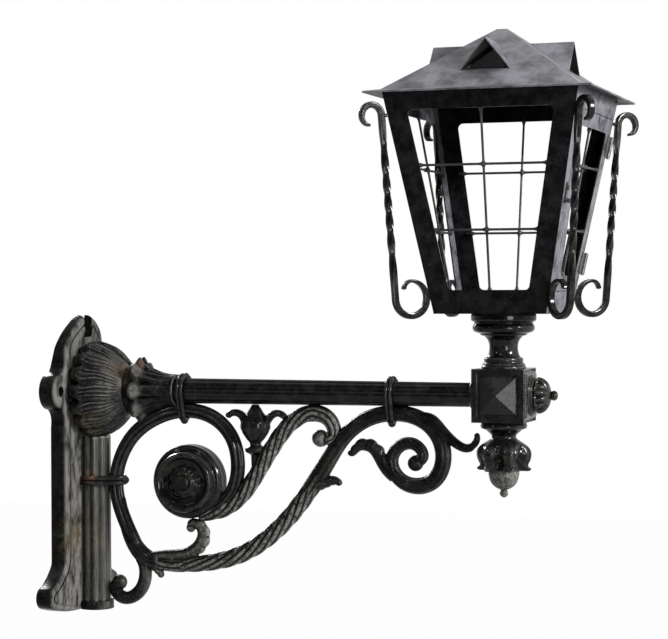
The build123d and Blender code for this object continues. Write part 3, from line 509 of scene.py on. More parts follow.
def vent_soot_and_shade(g):
    """1 on the roof under the four vent hoods, where sooting and painted shade go."""
    x, y, z = g.new("ShaderNodeSeparateXYZ", {0: g.place}).outputs
    high = g.share(z, hood_low * MM, hood_high * MM)
    total = 0.0
    for side, centre in ((x, axis_x), (y, 0)):
        off = g.new("ShaderNodeMath", {0: side, 1: centre * MM}, operation="SUBTRACT").outputs[0]
        off = g.new("ShaderNodeMath", {0: off}, operation="ABSOLUTE").outputs[0]
        wide = g.share(off, 0.0, hood_half * MM)
        under = g.band(g.new("ShaderNodeMath", {0: wide, 1: high}, operation="ADD").outputs[0], 0.98, 0.90)
        total = g.maths("ADD", g.times(under, g.band(high, 0.0, 0.05)), total)
    return total


def sheet_paint(name, dark, pale, amount, rough, dents, shine=0.2, faded=0.0, soot=False, cloud=32):
    """Black paint on sheet metal: cloudy fading, scuffs, specks, shallow dents, a painted sheen on faces
    turned to +X, and sooting and painted shade under the vent hoods and on faces turned down.
    """
    material = bpy.data.materials.new(name)
    g = Graph(material)
    clouds = g.noise(cloud, 6, 0.65)
    scuffs = g.band(g.noise(4, 4, 0.7, (1, 1, 7)), 0.54, 0.72)
    specks = g.band(g.noise(1.6, 2), 0.68, 0.75)
    colour = g.mix(g.times(g.band(clouds, 0.34, 0.68), amount), rgb(*dark), rgb(*pale))
    colour = g.mix(g.times(scuffs, 0.5), colour, rgb(*pale))
    colour = g.mix(g.times(specks, 0.4), colour, speck_grey)
    # Painted sheen: faces turned to +X are made paler and more violet, as a reflection would make them
    fade = g.times(g.band(g.facing("X"), 0.5, 0.95), g.band(g.noise(22, 5, 0.65), 0.28, 0.62))
    colour = g.mix(g.times(fade, faded), colour, painted_sheen_grey)
    if soot:
        # Sooting and painted shade: the roof under the vent hoods and faces turned downwards go black
        black = g.maths("MAXIMUM", vent_soot_and_shade(g), g.band(g.facing("Z"), -0.05, -0.35))
        colour = g.mix(black, colour, soot_and_shade_black)
    normal = g.bump(g.noise(1.4, 5), 0.12, 0.30, g.bump(g.noise(26, 2), dents, 0.35))
    g.finish(Base_Color=colour, Roughness=g.span(g.noise(9), *rough), Specular_IOR_Level=shine,
             Normal=normal)
    return material


def plain_metal(name, dark, pale, metal, rough):
    """Small fittings of metal or porcelain with a little tarnish or dirt."""
    material = bpy.data.materials.new(name)
    g = Graph(material)
    colour = g.mix(g.band(g.noise(3), 0.36, 0.64), rgb(*dark), rgb(*pale))
    normal = g.bump(g.noise(0.9, 4), 0.08, 0.30)
    g.finish(Base_Color=colour, Metallic=metal, Roughness=g.span(g.noise(2.5), *rough), Normal=normal)
    return material


cast_looks = {
    "bracket_iron": dict(),
    "bracket_iron_cup": dict(flecked=0.3, wear=0.3, shine=0.12),
    "bracket_iron_plain": dict(relief=False, dusty=0.5, flecked=0.3),
    "bracket_iron_column": dict(
        dusty=0.4, flecked=0.2, streak=(1, 1, 8), grey=0.25, shine=0.15, lumpy=0.5, coat=0.35),
    "bracket_iron_block": dict(relief=False, dusty=0.35, flecked=0.12, shine=0.18, lumpy=0.8),
    "bracket_iron_bars": dict(dusty=0.1, flecked=0.1, shine=0.03, wear=0.4, lumpy=0.45, coat=0.22),
    "bracket_iron_plate": dict(
        relief=False, dusty=1.0, flecked=0.12, streak=(1, 1, 2.5), dust_tone=0.115, clouds=(10, 5, 0.6),
        coat=0.0),
    # The rope and the lower bar carry painted light on faces turned down, out from the wall and to the near
    # side
    "bracket_iron_rope": dict(dusty=0.5, flecked=0.5, grey=0.2, fine=True, lit=(0.6, -0.3, -0.74)),
    "bracket_iron_lower": dict(
        dusty=0.4, flecked=0.3, grey=0.3, grey_at=((225, 0, -190), 150), fine=True,
        lit=(0.5, -0.3, -0.81)),
    "bracket_iron_dusty": dict(relief=False, dusty=0.5, flecked=0.5, grey=0.85),
    "twisted_bar": dict(relief=False, dusty=0.0, flecked=0.12, shine=0.04, lumpy=0.5, coat=0.18),
}
sheet_looks = {
    "roof_sheet": dict(
        dark=(0.026, 0.025, 0.029), pale=(0.125, 0.122, 0.138), amount=0.9, rough=(0.36, 0.54), dents=1.2,
        soot=True),
    "wall_sheet": dict(
        dark=(0.002, 0.002, 0.0022), pale=(0.012, 0.0117, 0.013), amount=0.9, rough=(0.18, 0.40),
        dents=0.8, shine=0.03, faded=0.9, cloud=15),
    "rods": dict(
        dark=(0.012, 0.012, 0.012), pale=(0.040, 0.040, 0.040), amount=0.6, rough=(0.30, 0.48),
        dents=0.2),
}
metal_looks = {
    "fittings": dict(dark=(0.012, 0.012, 0.012), pale=(0.05, 0.048, 0.044), metal=0.0, rough=(0.30, 0.55)),
    "porcelain": dict(dark=(0.62, 0.61, 0.57), pale=(0.72, 0.71, 0.68), metal=0.0, rough=(0.15, 0.30)),
    "brass": dict(dark=(0.30, 0.20, 0.07), pale=(0.52, 0.38, 0.15), metal=1.0, rough=(0.25, 0.45)),
}
materials = {}
for maker, looks in ((cast_paint, cast_looks), (sheet_paint, sheet_looks), (plain_metal, metal_looks)):
    for name, look in looks.items():
        materials[name] = maker(name, **look)


# Pieces

def new_object(name, shape):
    """Object with the mesh of a shape, its faces turned outwards."""
    points, faces = shape
    mesh = bpy.data.meshes.new(name)
    mesh.from_pydata((np.asarray(points) * MM).tolist(), [], faces)
    work = bmesh.new()
    work.from_mesh(mesh)
    bmesh.ops.recalc_face_normals(work, faces=work.faces)
    work.to_mesh(mesh)
    work.free()
    obj = bpy.data.objects.new(name, mesh)
    bpy.context.scene.collection.objects.link(obj)
    return obj


def apply_modifiers(obj):
    """Puts what an object's modifiers make in place of its mesh."""
    bpy.context.view_layer.update()
    made = bpy.data.meshes.new_from_object(obj.evaluated_get(bpy.context.evaluated_depsgraph_get()))
    obj.modifiers.clear()
    obj.data = made


def shade(mesh, crease):
    """Smooth shading, apart from edges sharper than crease degrees."""
    mesh.polygons.foreach_set("use_smooth", [True] * len(mesh.polygons))
    mesh.set_sharp_from_angle(angle=math.radians(crease))


def piece(name, shape, slot, *replaced, body="bracket", crease=40, fuse=0.0, look=None):
    """One shape as an object that stands for CAD nodes and rides on their body.

    fuse is the grain at which shapes that run into each other are melted into one skin.
    """
    obj = new_object(name, shape)
    if fuse:
        remesh = obj.modifiers.new("fuse", "REMESH")
        remesh.mode = "VOXEL"
        remesh.voxel_size = fuse * MM
        apply_modifiers(obj)
    shade(obj.data, crease)
    obj.data.materials.clear()
    obj.data.materials.append(materials[look or slot])
    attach(obj, body)
    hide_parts(*replaced)
    return obj


def casting(name, shape, replaced, look="bracket_iron_bars", **settings):
    """Piece of the cast-iron bracket."""
    return piece(name, shape, "bracket_iron", replaced, look=look, **settings)


# Root of the arm: fluted cup and leaf socket, both split along the top for the wire

cup_outline = [(plate_t, cup_bore), (plate_t, 52), (27, 58)]
cup_outline += rounded([
    (27, 58), (34, 60.5), (44, 59), (54, 55.5), (66, 47.5), (76, 37.5), (cup_end_x, 31)], 3)
cup_outline += [(cup_end_x, cup_bore)]


def cup_relief(along, radius, angle):
    """Sixteen leaves with curled lips at the plate, each gathered into fine folds towards the arm."""
    outside = ramp(radius, 24, 29)
    wander = angle + 0.022 * np.sin(3 * angle + along / 6) + 0.012 * np.sin(11 * angle - along / 9)
    lips = between(along, 22.5, 26, 31, 40)
    leaves = 1 - ramp(along, 70, 82)
    folds = between(along, 34, 44, 74, 82)
    relief = 0.13 * lips * lobes(wander, 16, 1.6) + 0.055 * leaves * lobes(wander, 16, 2.2)
    return 1 - outside * (relief + 0.042 * folds * lobes(wander, 64, 0.8))


cup = turned((0, 0, 0), OUT, soften(cup_outline), 384, cup_relief, cup_slot)
casting("root_cup_leaves", cup, "root_cup", "bracket_iron_cup")

socket_outline = [(cup_end_x, cup_bore), (cup_end_x, 30)]
socket_outline += rounded([
    (cup_end_x, 30), (90, 35), (98, 43), (103, 36), (115, 27), (130, 21.5), (socket_end_x, 20)], 3)
socket_outline += [(socket_end_x, cup_bore)]


def socket_relief(along, radius, angle):
    """Eight leaves with raised tips, a rib along each and a hollow on both sides of it."""
    outside = ramp(radius, 18.5, 24)
    tips = between(along, 84, 95, 99, 132)
    blades = between(along, 96, 108, 134, 144)
    relief = 0.25 * tips * lobes(angle, 8, 1.0)
    return 1 - outside * (relief + 0.10 * blades * lobes(angle + math.pi / 16, 16, 0.8))


socket = turned((0, 0, 0), OUT, soften(socket_outline, 1.2), 288, socket_relief, cup_slot)
casting("leaf_socket_leaves", socket, "leaf_socket", "bracket_iron")


# Arm, ridged along its length

arm_outline = [(arm_start_x, arm_bore)]
arm_outline += [(x, arm_r(x)) for x in [*range(arm_start_x, arm_end_x, 12), arm_end_x]]
arm_outline += [(x, tenon_r) for x in (arm_end_x, arm_end_x + tenon_length)]
arm_outline += [(arm_end_x + tenon_length, arm_bore)]


def arm_relief(along, radius, angle):
    """Fourteen ridges that stop short of the tenon."""
    ridges = ramp(radius, 12.5, 13.5) * (1 - ramp(along, arm_end_x - 9, arm_end_x - 4))
    return 1 - ridges * 0.05 * lobes(angle, 14, 1.2)


arm = turned((0, 0, 0), OUT, soften(arm_outline, 1.0, 2.0), 224, arm_relief, arm_slot)
casting("arm_bar", arm, "arm_channel")


# Reeded column, flat where it lies on the plate, its head cut to the round of the cup

column_line = np.array([(column_x, 0, z) for z in np.arange(column_foot_z, column_head_z + 0.1, 1.5)])


def column_section(s, a, length):
    """Ten broad reeds."""
    r = column_reach * (1 - 0.125 * lobes(a, 10, 0.8)) * (0.93 + 0.07 * closed_ends(s, length, 2))
    return r * np.cos(a), r * np.sin(a)


column_skin = tube(column_line, FAR, column_section, 144)
column_points = column_skin[0]
column_points[:, 0] = np.maximum(column_points[:, 0], plate_t + 0.05)
cup_r = np.interp(column_points[:, 0], *zip(*cup_outline[2:-1]))
head_z = -0.4 - np.sqrt(cup_r ** 2 - column_points[:, 1] ** 2)
head_share = ramp(column_points[:, 2], column_head_z - 19, column_head_z)
column_points[:, 2] += head_share * (head_z - column_head_z)
casting("column_reeds", column_skin, "column", "bracket_iron_column")


# Scroll bars

def under_arm(x, radius):
    """Point (x, z) of a bar where it lies under the arm."""
    return x, -(arm_r(x) + 0.15 + radius)


volute_line = in_bracket([
    (92, -199), (74, -163), (root_x + 0.2, band_z - 14), (root_x + 0.2, band_z + 6), (69, -83), (85, -57),
    (115, -35), under_arm(collar_xs["inner"], bar_r), (193, -33), (217, -58), (224, -88), (219, -117),
    (200, -140), (171, -151)])
husk_line = in_bracket([(66, -132), (74, -163), (90, -196), (104, -208), (122, -212)])


def husk_section(s, a, length):
    """Sleeve of leaf from which the long lower bar grows, wider at its lower end."""
    r = (7.6 + 3.4 * ramp(s, 0.1 * length, 0.8 * length)) * closed_ends(s, length, 4)
    r = r * (1 - 0.10 * lobes(a, 6, 0.8))
    return r * np.cos(a), r * np.sin(a)


volute = join(tube(volute_line, FAR, beaded_bar(bar_r + 0.7), 64), tube(husk_line, FAR, husk_section, 48))
casting("volute_bar", volute, "volute_scroll")


def rope_section(radii, start, stop, strands=8, lead=0.036, leaf_length=34, blend=18):
    """Bar cast as a rope of leaves between two lengths, ridged elsewhere.

    radii are (share of length, radius), lead is the turn for each millimetre, and blend is the length over
    which the rope begins and ends.
    """
    def section(s, a, length):
        rope = between(s, start, start + blend, stop - blend, stop)
        turn = a + lead * s
        share = (turn * strands / TURN) % 1
        stagger = 3 / strands * np.floor(turn * strands / TURN)
        leaf = np.sin(math.pi * ((s / leaf_length + stagger) % 1)) ** 0.6
        strand = np.sin(math.pi * share ** 0.6) ** 0.8 * (0.45 + 0.55 * leaf)
        groove = rope * 0.19 * (1 - strand) + (1 - rope) * 0.11 * lobes(a, 8)
        r = np.interp(s / length, *zip(*radii)) * (1.06 - groove) * closed_ends(s, length, 8)
        return r * np.cos(a), r * np.sin(a)
    return section


rope_line = in_bracket([
    (171, -151), (205, -144), (234, -121), (256, -88), (274, -60), (296, -35), under_arm(322, rope_r),
    (343, -34), (347, -51), (334, -58)])
rope_skin = rope_section(((0, 9), (0.15, 9.8), (0.8, 9.8), (1, 7.5)), -40, 215)
rope = join(tube(rope_line, FAR, rope_skin, 96), ball((330.5, 0, -55), 10.5, 0.95))
casting("rope_bar", rope, "rope_scroll", "bracket_iron_rope", fuse=fuse_grain, crease=60)

lower_line = in_bracket([
    (92, -203), (120, -212), (160, -213), (228, -198), (292, -149), (340, -82), (366, -47), (394, -29),
    under_arm(collar_xs["outer"], bar_r), (448, -27), (472, -43), (483, -75), (472, -101), (450, -109),
    (427, -99), (420, -78), (432, -61), (450, -61), (458, -74), (450, -82)])
lower_radii = (
    (0, 8), (0.1, 9.4), (0.2, 10.2), (0.42, 10.2), (0.5, 9.0), (0.72, 9.4), (0.82, 9.4), (0.9, 7.6),
    (1, 6.4))
lower_skin = rope_section(lower_radii, 52, 268)
hook = branch(leaf_bar(((0, 7), (0.45, 7.6), (0.7, 8), (0.86, 6.6), (1, 4.2)), 1.05, 0.22, 10), [
    (100, -208), (128, -204), (151, -201.5), (168, -194), (177, -183), (178, -172), (172, -164), (164, -163),
    (160, -168)])
tail = branch(leaf_bar(((0, 7.5), (0.4, 8.2), (0.75, 8.2), (1, 6)), 1.05), [
    (92, -203), (99, -214), (101, -228), (97, -243), (87, -254), (75, -258), (64, -254), (59, -245),
    (63, -237)])
leaf_tip = branch(leaf_bar(((0, 7), (0.6, 6.4), (1, 3.2)), 1.1, 0.2, 7), [
    (94, -206), (104, -211), (115, -217), (121, -225), (124, -231)])
leaf_curl = branch(round_bar(4.4, 2.6, 1.4), [(110, -214), (120, -215), (126, -221)])
outer_twig = branch(leaf_bar(((0, 7), (0.5, 6.2), (1, 4.8)), 1.1), [
    (452, -28), (468, -30), (480, -41), (491, -52), (502, -60), (512, -63), (520, -60)])
outer_flick = branch(round_bar(4.4, 3.2, 1.3), [(516, -62), (522, -56), (524, -49), (522, -45)])
inner_twig = branch(leaf_bar(((0, 8), (0.45, 7.6), (0.7, 6.8), (0.88, 4.6), (1, 3.4)), 1.1, 0.30, 11), [
    (425, -100), (414, -90), (405, -76), (396, -65), (386, -62), (376, -66), (369, -72), (366, -69)])
sheath = branch(leaf_bar(((0, 7), (0.5, 7.2), (0.8, 5.2), (1, 3)), 1.3, 0.15, 9), [
    (312, -122), (324, -112), (337, -107), (350, -105.5), (357, -110)])
spiral_eye = ball((449, 0, -82), 9.6, 0.85)
hook_eye = ball((162, 0, -168), 5.8, 0.9)
tail_eye = ball((66, 0, -239), 9.6, 0.95)
lower = join(tube(lower_line, FAR, lower_skin, 88), spiral_eye, hook, hook_eye, tail, tail_eye, leaf_tip,
             leaf_curl, outer_twig, outer_flick, inner_twig, sheath)
casting("lower_bar", lower, "lower_scroll", "bracket_iron_lower", fuse=fuse_grain, crease=60)


# Rosettes: turned discs with a ring of petals

drum_outline = [
    (0, drum_bore), (0, drum_r), (9, drum_r), (13, 42), (14, 38), (20, 37), (24, 35.5), (25, 33),
    (23, 30), (19.5, 28), (19, 22), (22, 18.5), (23.5, 15), (25, 13), (26, 12), (26, drum_bore)]


def drum_relief(along, radius, angle):
    """Ten petals round the bolt."""
    petals = between(radius, 14, 17, 26, 29) * ramp(along, 12, 18)
    return 1 - petals * 0.10 * lobes(angle, 10, 1.2)


for side_name, side in (("near", -1), ("far", 1)):
    disc = turned((drum_x, side * 0.05, drum_z), side * FAR, soften(drum_outline, 1.2), 160, drum_relief)
    casting("rosette_disc_" + side_name, disc, "rosette_" + side_name)


# Lily bud

bud_outline = [
    (-92, 0.3), (-92, 5), (-77, 5.5), (-75, 9), (-73, 12.4), (-69, 12.8), (-66.5, 9.5), (-64.5, 6.5),
    (-62, 7), (-58, 11), (-51, 16), (-44, 19), (-37, 18.6), (-31, 15), (-26, 10.5), (-21, 7.4), (-18, 5),
    (-15.9, 4.6), (-15.9, 0.3)]


def bud_relief(along, radius, angle):
    """Six petals, closed at the top."""
    petals = between(along, -62, -50, -26, -20)
    return 1 - petals * 0.15 * lobes(angle, 6, 1.3)


petal = round_bar(5.4, 4, 1.5)
left_petal = branch(petal, [(243, -52), (236, -40), (229, -29), (221, -26), (214, -28), (210, -32)])
right_petal = branch(petal, [(251, -52), (259, -40), (267, -29.5), (275, -26), (282, -28), (286, -32)])
stalk = turned((bud_x, 0, 0), UP, soften(bud_outline, 1.2), 72, bud_relief)
bud = join(stalk, left_petal, right_petal)
casting("lily_bud", bud, "fleuron", fuse=fuse_grain, crease=60)


# Straps

def strap_path(centre_a, r_a, centre_b, r_b, opening, step=0.8):
    """Line drawn tight round two circles in a plane, open over the first one."""
    (xa, ya), (xb, yb) = centre_a, centre_b
    gap = math.hypot(xb - xa, yb - ya)
    heading = math.atan2(yb - ya, xb - xa)
    spread = math.acos((r_a - r_b) / gap)
    half_open = math.asin(opening / 2 / r_a) if opening < 2 * r_a else math.pi / 2
    arcs = ((centre_a, r_a, math.pi - half_open, spread), (centre_b, r_b, spread, -spread),
            (centre_a, r_a, -spread, half_open - math.pi))
    line = []
    for (x, y), r, start, stop in arcs:
        angles = heading + np.linspace(start, stop, 60)
        line += [(x + r * math.cos(t), y + r * math.sin(t)) for t in angles]
    return even(line, step)


def strap_section(half_width, thick):
    """Two round beads side by side."""
    def section(s, a, length):
        close = closed_ends(s, length, thick)
        wide = half_width * np.sin(a) * (0.35 + 0.65 * close)
        bead = np.sqrt(np.maximum(1 - (np.abs(np.abs(np.sin(a)) - 0.5) / 0.5) ** 2, 0.06))
        return thick * np.sign(np.cos(a)) * np.minimum(np.abs(np.cos(a)) * 1.6, bead) * close, wide
    return section


for collar_name, x in collar_xs.items():
    _, foot_z = under_arm(x, bar_r)
    loop = strap_path((0, 0), arm_r(x) + strap_off, (foot_z, 0), bar_r + strap_off_bar, arm_slot)
    path = np.stack([np.full(len(loop), x), loop[:, 1], loop[:, 0]], axis=1)
    knobs = [ball(path[0], 4.2), ball(path[-1], 4.2), ball((x, 0, foot_z - bar_r - 3.4), 4.8)]
    strap = join(tube(path, OUT, strap_section(4.6, strap_t), 40), *knobs)
    casting("arm_strap_" + collar_name, strap, "arm_collar_" + collar_name)

loop = strap_path((column_x, 0), column_reach + strap_off, (root_x, 0), bar_r + strap_off_bar, band_opening)
path = np.stack([loop[:, 0], loop[:, 1], np.full(len(loop), band_z)], axis=1)
knob = ball((root_x + bar_r + 3, 0, band_z), 5)
casting("column_strap", join(tube(path, UP, strap_section(6, strap_t), 40), knob), "column_band")


# Block, finial, neck and pendant

# Frames of the block's sides, as steps of (inset, depth)
point_frame = ((8.4, 0.0), (1.2, -2.0), (3.0, 0.0), (1.0, 1.0))
outer_frame = (
    (1.6, 0.0), (0.5, -2.4), (2.2, 0.0), (0.4, 1.8), (1.8, 0.0), (0.4, 1.6), (1.8, 0.0), (0.4, 1.4))


def block_shape():
    """Cube with framed diamond points on its near and far sides and a stepped frame on its outer side."""
    work = bmesh.new()
    bmesh.ops.create_cube(work, size=2 * block_half)

    def step_in(face, steps):
        for inset, depth in steps:
            bmesh.ops.inset_individual(work, faces=[face], thickness=inset, depth=depth)

    for side in (-1, 1):
        face = max(work.faces, key=lambda f: f.normal.y * side + 0.001 * f.calc_area())
        step_in(face, point_frame)
        bmesh.ops.poke(work, faces=[face], offset=point_h)
    step_in(max(work.faces, key=lambda f: f.normal.x + 0.001 * f.calc_area()), outer_frame)
    sharp = [e for e in work.edges if e.calc_face_angle(0) > math.radians(14)]
    bmesh.ops.bevel(work, geom=sharp, offset=0.4, segments=2, affect="EDGES", profile=0.6)
    bmesh.ops.translate(work, verts=work.verts, vec=(axis_x, 0, 0))
    work.verts.index_update()
    shape = np.array([v.co for v in work.verts]), [tuple(v.index for v in f.verts) for f in work.faces]
    work.free()
    return shape


ring_outline = [(-7, 14.8), (-7, 17), (-5, 19.6), (0.5, 19.6), (0.5, 14.8)]
block = join(block_shape(), turned((arm_end_x, 0, 0), OUT, soften(ring_outline, 1), 120))
casting("block_faces", block, "block", "bracket_iron_block", crease=4)

finial_outline = [
    (-18, 0.2), (-18, 6), (0, 6), (0, 22), (1.5, 24), (4, 24), (5, 22), (6.5, 22), (7.5, 19.6), (9, 19.6),
    (10, 21.5)]
finial_outline += rounded([(10, 21.5), (17, 19), (23, 11), (25, 4.4)], 2)
finial_outline += rounded([(25, 4.4), (28, 5.8), (32, 4), (33, 0.2)], 1)


def finial_relief(along, radius, angle):
    """Fourteen gadroons on the dome."""
    dome = between(along, 9.5, 12, 20, 25)
    return 1 - dome * 0.13 * lobes(angle, 14, 0.9)


finial_foot = (axis_x + block_half, 0, 0)
finial = turned(finial_foot, OUT, soften(finial_outline, 0.8, 0.6), 140, finial_relief)
casting("finial_dome", finial, "end_finial")

neck_outline = [
    (block_half, 6.2), (block_half, 26), (33.5, 26), (34.2, 24.6), (36, 25.2), (37.2, 23), (39.5, 22.2),
    (40, 23), (43, 22.6), (44, 19.8)]
neck_outline += rounded([(44, 19.8), (47, 18), (55, 16.6), (64, 18.5), (68.5, 22.5)], 2)
neck_outline += [
    (69.5, 26.5), (71.5, 27.5), (72.5, 31), (74, 34.5), (77, 36.2), (80, 36), (82.5, 34.4), (84.5, 33.8),
    (85.5, 35.4), (86.3, 37.4), (87, 38), (93, 38), (neck_top, 36.5), (neck_top, 15.5), (68, 15.5),
    (68, 6.2)]
neck = turned((axis_x, 0, 0), UP, soften(neck_outline, 1.2), 120)
casting("neck_turning", neck, "neck")

pendant_outline = [
    (-block_half, 6.2), (-block_half, 24), (-33, 26.5), (-36, 27.3), (-38.5, 26.5), (-40, 22),
    (-42, 19.5)]
pendant_outline += rounded([
    (-42, 19.5), (-48.5, 14), (-54, 20), (-64, 32), (-74, 32), (-82, 28), (-88, 25.5)], 2)
pendant_outline += [(-88, 18.2), (-80, 18.2), (-80, 6.2)]


def pendant_relief(along, radius, angle):
    """Six leaves folded over the acorn, with a rib along each and flicked tips."""
    leaves = (1 - ramp(along, -64, -54)) * ramp(radius, 19, 24)
    tips = np.exp(-((along + 86) / 3.0) ** 2) * ramp(radius, 20, 24) * (1 - lobes(angle, 6, 0.5)) ** 2
    return 1 - leaves * (0.24 * lobes(angle, 6, 0.9) + 0.04 * lobes(angle, 24, 0.9)) + 0.24 * tips


def pendant_slide(along, radius, angle):
    """The edge between two leaves runs up towards the neck."""
    return 15 * (1 - ramp(along, -88, -62)) * lobes(angle, 6, 0.7) * ramp(radius, 20, 24)


pendant = turned((axis_x, 0, 0), UP, soften(pendant_outline, 1.2), 168, pendant_relief,
                 slide=pendant_slide)
casting("pendant_leaves", pendant, "pendant_cup")

acorn_outline = [(-80, 6.1), (-80, 18), (-92, 18)]
acorn_outline += rounded([(-92, 18), (-102, 15), (-108.5, 8), (-110.5, 3.4)], 1.5)
acorn_outline += rounded([(-110.5, 3.4), (-113, 4.8), (-117, 4.2), (-119.5, 0.2)], 1)
acorn_outline += [(-100, 0.2), (-100, 6.1)]
acorn = turned((axis_x, 0, 0), UP, soften(acorn_outline, 0.8, 0.7), 72)
casting("acorn", acorn, "pendant_acorn", "bracket_iron_dusty")


# Corner scrolls: square bar, twisted along its straight run, thinned at both ends

scroll_step = 1.0
stem_top = (159.24, 319)
stem_foot = (141.9, 111)
hook_arcs = ((12.5, -200), (9.5, -70))
curl_arcs = ((20, -262), (10, -95))
twist_turns = 1.5


def arcs_from(start, heading, arcs):
    """Line of (r, z) points along arcs of (radius, degrees). Negative degrees turn clockwise."""
    line = [start]
    for radius, degrees in arcs:
        count = max(2, int(abs(math.radians(degrees)) * radius / scroll_step))
        turn = math.radians(degrees) / count
        chord = 2 * radius * math.sin(abs(turn) / 2)
        for _ in range(count):
            heading += turn / 2
            line.append((line[-1][0] + chord * math.cos(heading), line[-1][1] + chord * math.sin(heading)))
            heading += turn / 2
    return line


stem_heading = math.atan2(stem_foot[1] - stem_top[1], stem_foot[0] - stem_top[0])
hook_part = arcs_from(stem_top, stem_heading + math.pi, hook_arcs)
curl_part = arcs_from(stem_foot, stem_heading, curl_arcs)
stem_part = even([stem_top, stem_foot], scroll_step)[1:-1].tolist()
scroll_line = np.array(hook_part[::-1] + stem_part + curl_part)
hook_len = len(hook_part) * scroll_step
stem_len = math.dist(stem_top, stem_foot)


def twisted_bar(s, a, length):
    """Rounded square that turns one and a half times along the straight run."""
    turn = twist_turns * TURN * ramp(s, hook_len + 12, hook_len + stem_len - 12)
    corner = np.maximum(np.abs(np.cos(a)), np.abs(np.sin(a)))
    thin = 0.45 + 0.55 * between(s, 0, 30, length - 62, length)
    r = corner_bar / 2 * np.minimum(1 / corner, 1.30) * closed_ends(s, length, 1.5)
    u, v = r * np.cos(a) * thin, r * np.sin(a) * (1 + 0.25 * (1 - thin))
    return u * np.cos(turn) - v * np.sin(turn), u * np.sin(turn) + v * np.cos(turn)


for scroll_name, degrees in (("near_outer", -45), ("far_outer", 45), ("far_wall", 135), ("near_wall", 225)):
    turn = math.radians(degrees)
    outward = np.array((math.cos(turn), math.sin(turn), 0))
    side = np.array((math.sin(turn), -math.cos(turn), 0))
    path = np.array((axis_x, 0, 0)) + scroll_line[:, :1] * outward + scroll_line[:, 1:] * UP
    piece("twisted_scroll_" + scroll_name, tube(path, side, twisted_bar, 32), "twisted_bar",
          "corner_scroll_" + scroll_name, crease=50)


# Grilles: rods with beads of weld where they cross and where they meet the sheet

slope = (half_top - half_bottom) / (body_top - body_bottom)
lean = math.atan(slope)
rise = math.hypot(1, slope)


def rod_place(z):
    """Distance of the level rods from the lantern's axis."""
    return body_half(z) - (sheet_t + rod_r + 0.1) / math.cos(lean)


def rod(start, end, welds, step=1.0):
    """Rod between two points that swells at welds, given as lengths along it."""
    path = even([start, end], step)
    run = (path[-1] - path[0]) / np.linalg.norm(path[-1] - path[0])
    side = np.cross(run, UP if abs(run[2]) < 0.7 else OUT)
    side /= np.linalg.norm(side)

    def section(s, a, length):
        swell = sum(np.exp(-((s - at) / weld_run) ** 2) for at in welds)
        r = rod_r * (1 + weld_swell * swell) * closed_ends(s, length, 1.0)
        return r * np.cos(a), r * np.sin(a)
    return tube(path, side, section, 14)


def grille(degrees, low, high, near, far):
    """Rods of one wall's window. near and far are the widths of the sheet beside it."""
    turn = math.radians(degrees)
    along = np.array((math.cos(turn), math.sin(turn), 0))
    outward = np.array((math.sin(turn), -math.cos(turn), 0))

    def at(x, z, reach):
        return np.array((axis_x, 0, z)) + x * along + reach * outward

    behind = (2 * rod_r + 0.1) / math.cos(lean)
    mid = (near - far) / 2
    crossings = [(z - low) * rise for z in rod_zs]
    ends = [rod_lap * rise, (high - low - rod_lap) * rise]
    foot = at(mid, low, rod_place(low) - behind)
    head = at(mid, high, rod_place(high) - behind)
    rods = [rod(foot, head, crossings + ends)]
    for z in rod_zs:
        left = -(body_half(z) - near + rod_lap)
        right = body_half(z) - far + rod_lap
        welds = (rod_lap, mid - left, right - left - rod_lap)
        rods.append(rod(at(left, z, rod_place(z)), at(right, z, rod_place(z)), welds))
    return join(*rods)


for face_name, degrees in (("front", 0), ("back", 180), ("left", 270)):
    piece("rods_" + face_name, grille(degrees, *window_zs, stile, stile), "rods", "grille_" + face_name)
door_rods = grille(90, *door_window_zs, stile + door_rim, stile)
piece("rods_door", door_rods, "rods", "grille_door", body="door")


# Wall plate: arched foot, eared middle and split nose, with a lip round a raised panel

def arc3(a, m, b, count=14):
    """Points on the arc through three points, without the last."""
    (ax, ay), (bx, by), (cx, cy) = a, m, b
    d = 2 * (ax * (by - cy) + bx * (cy - ay) + cx * (ay - by))
    aa, bb, cc = ax * ax + ay * ay, bx * bx + by * by, cx * cx + cy * cy
    ux = (aa * (by - cy) + bb * (cy - ay) + cc * (ay - by)) / d
    uy = (aa * (cx - bx) + bb * (ax - cx) + cc * (bx - ax)) / d
    start = math.atan2(ay - uy, ax - ux)
    mid = (math.atan2(by - uy, bx - ux) - start) % TURN
    sweep = (math.atan2(cy - uy, cx - ux) - start) % TURN
    if mid > sweep:
        sweep -= TURN
    radius = math.hypot(ax - ux, ay - uy)
    angles = [start + sweep * k / count for k in range(count)]
    return [(ux + radius * math.cos(t), uy + radius * math.sin(t)) for t in angles]


toe_z = plate_bottom + 12
half_plate = arc3((0, plate_bottom), (54, plate_bottom + 4), (89, toe_z))
half_plate += arc3((89, toe_z), (98, toe_z + 12), (86, toe_z + 26))
half_plate += arc3((86, toe_z + 26), (72, toe_z + 34), (56, toe_z + 50))
half_plate += [(56, z) for z in np.linspace(toe_z + 50, -50, 20)]
half_plate += arc3((56, -44), (58, -28), (66, -22))
half_plate += arc3((66, -22), (88, 0), (66, 22))
half_plate += arc3((66, 22), (58, 27), (55, 36))
half_plate += arc3((55, 52), (46.8, 67.1), (33, plate_top - 14))
half_plate += arc3((33, plate_top - 14), (18.2, plate_top - 4.6), (0, plate_top)) + [(0, plate_top)]
plate_loop = soften(half_plate + [(-y, z) for y, z in half_plate[-2:0:-1]], 4, 2)
plate_steps = (
    (1, 0), (0, 1), (0, 14), (0.5, 16.5), (1.8, 18.8), (3.8, 20.2), (6, 20.6), (10.5, 20.4), (11.5, 18.8),
    (12.3, 18.8), (13.2, 20.8), (14.6, 21.8), (17, plate_t))
panel_from = 10.5
panel_half = 45
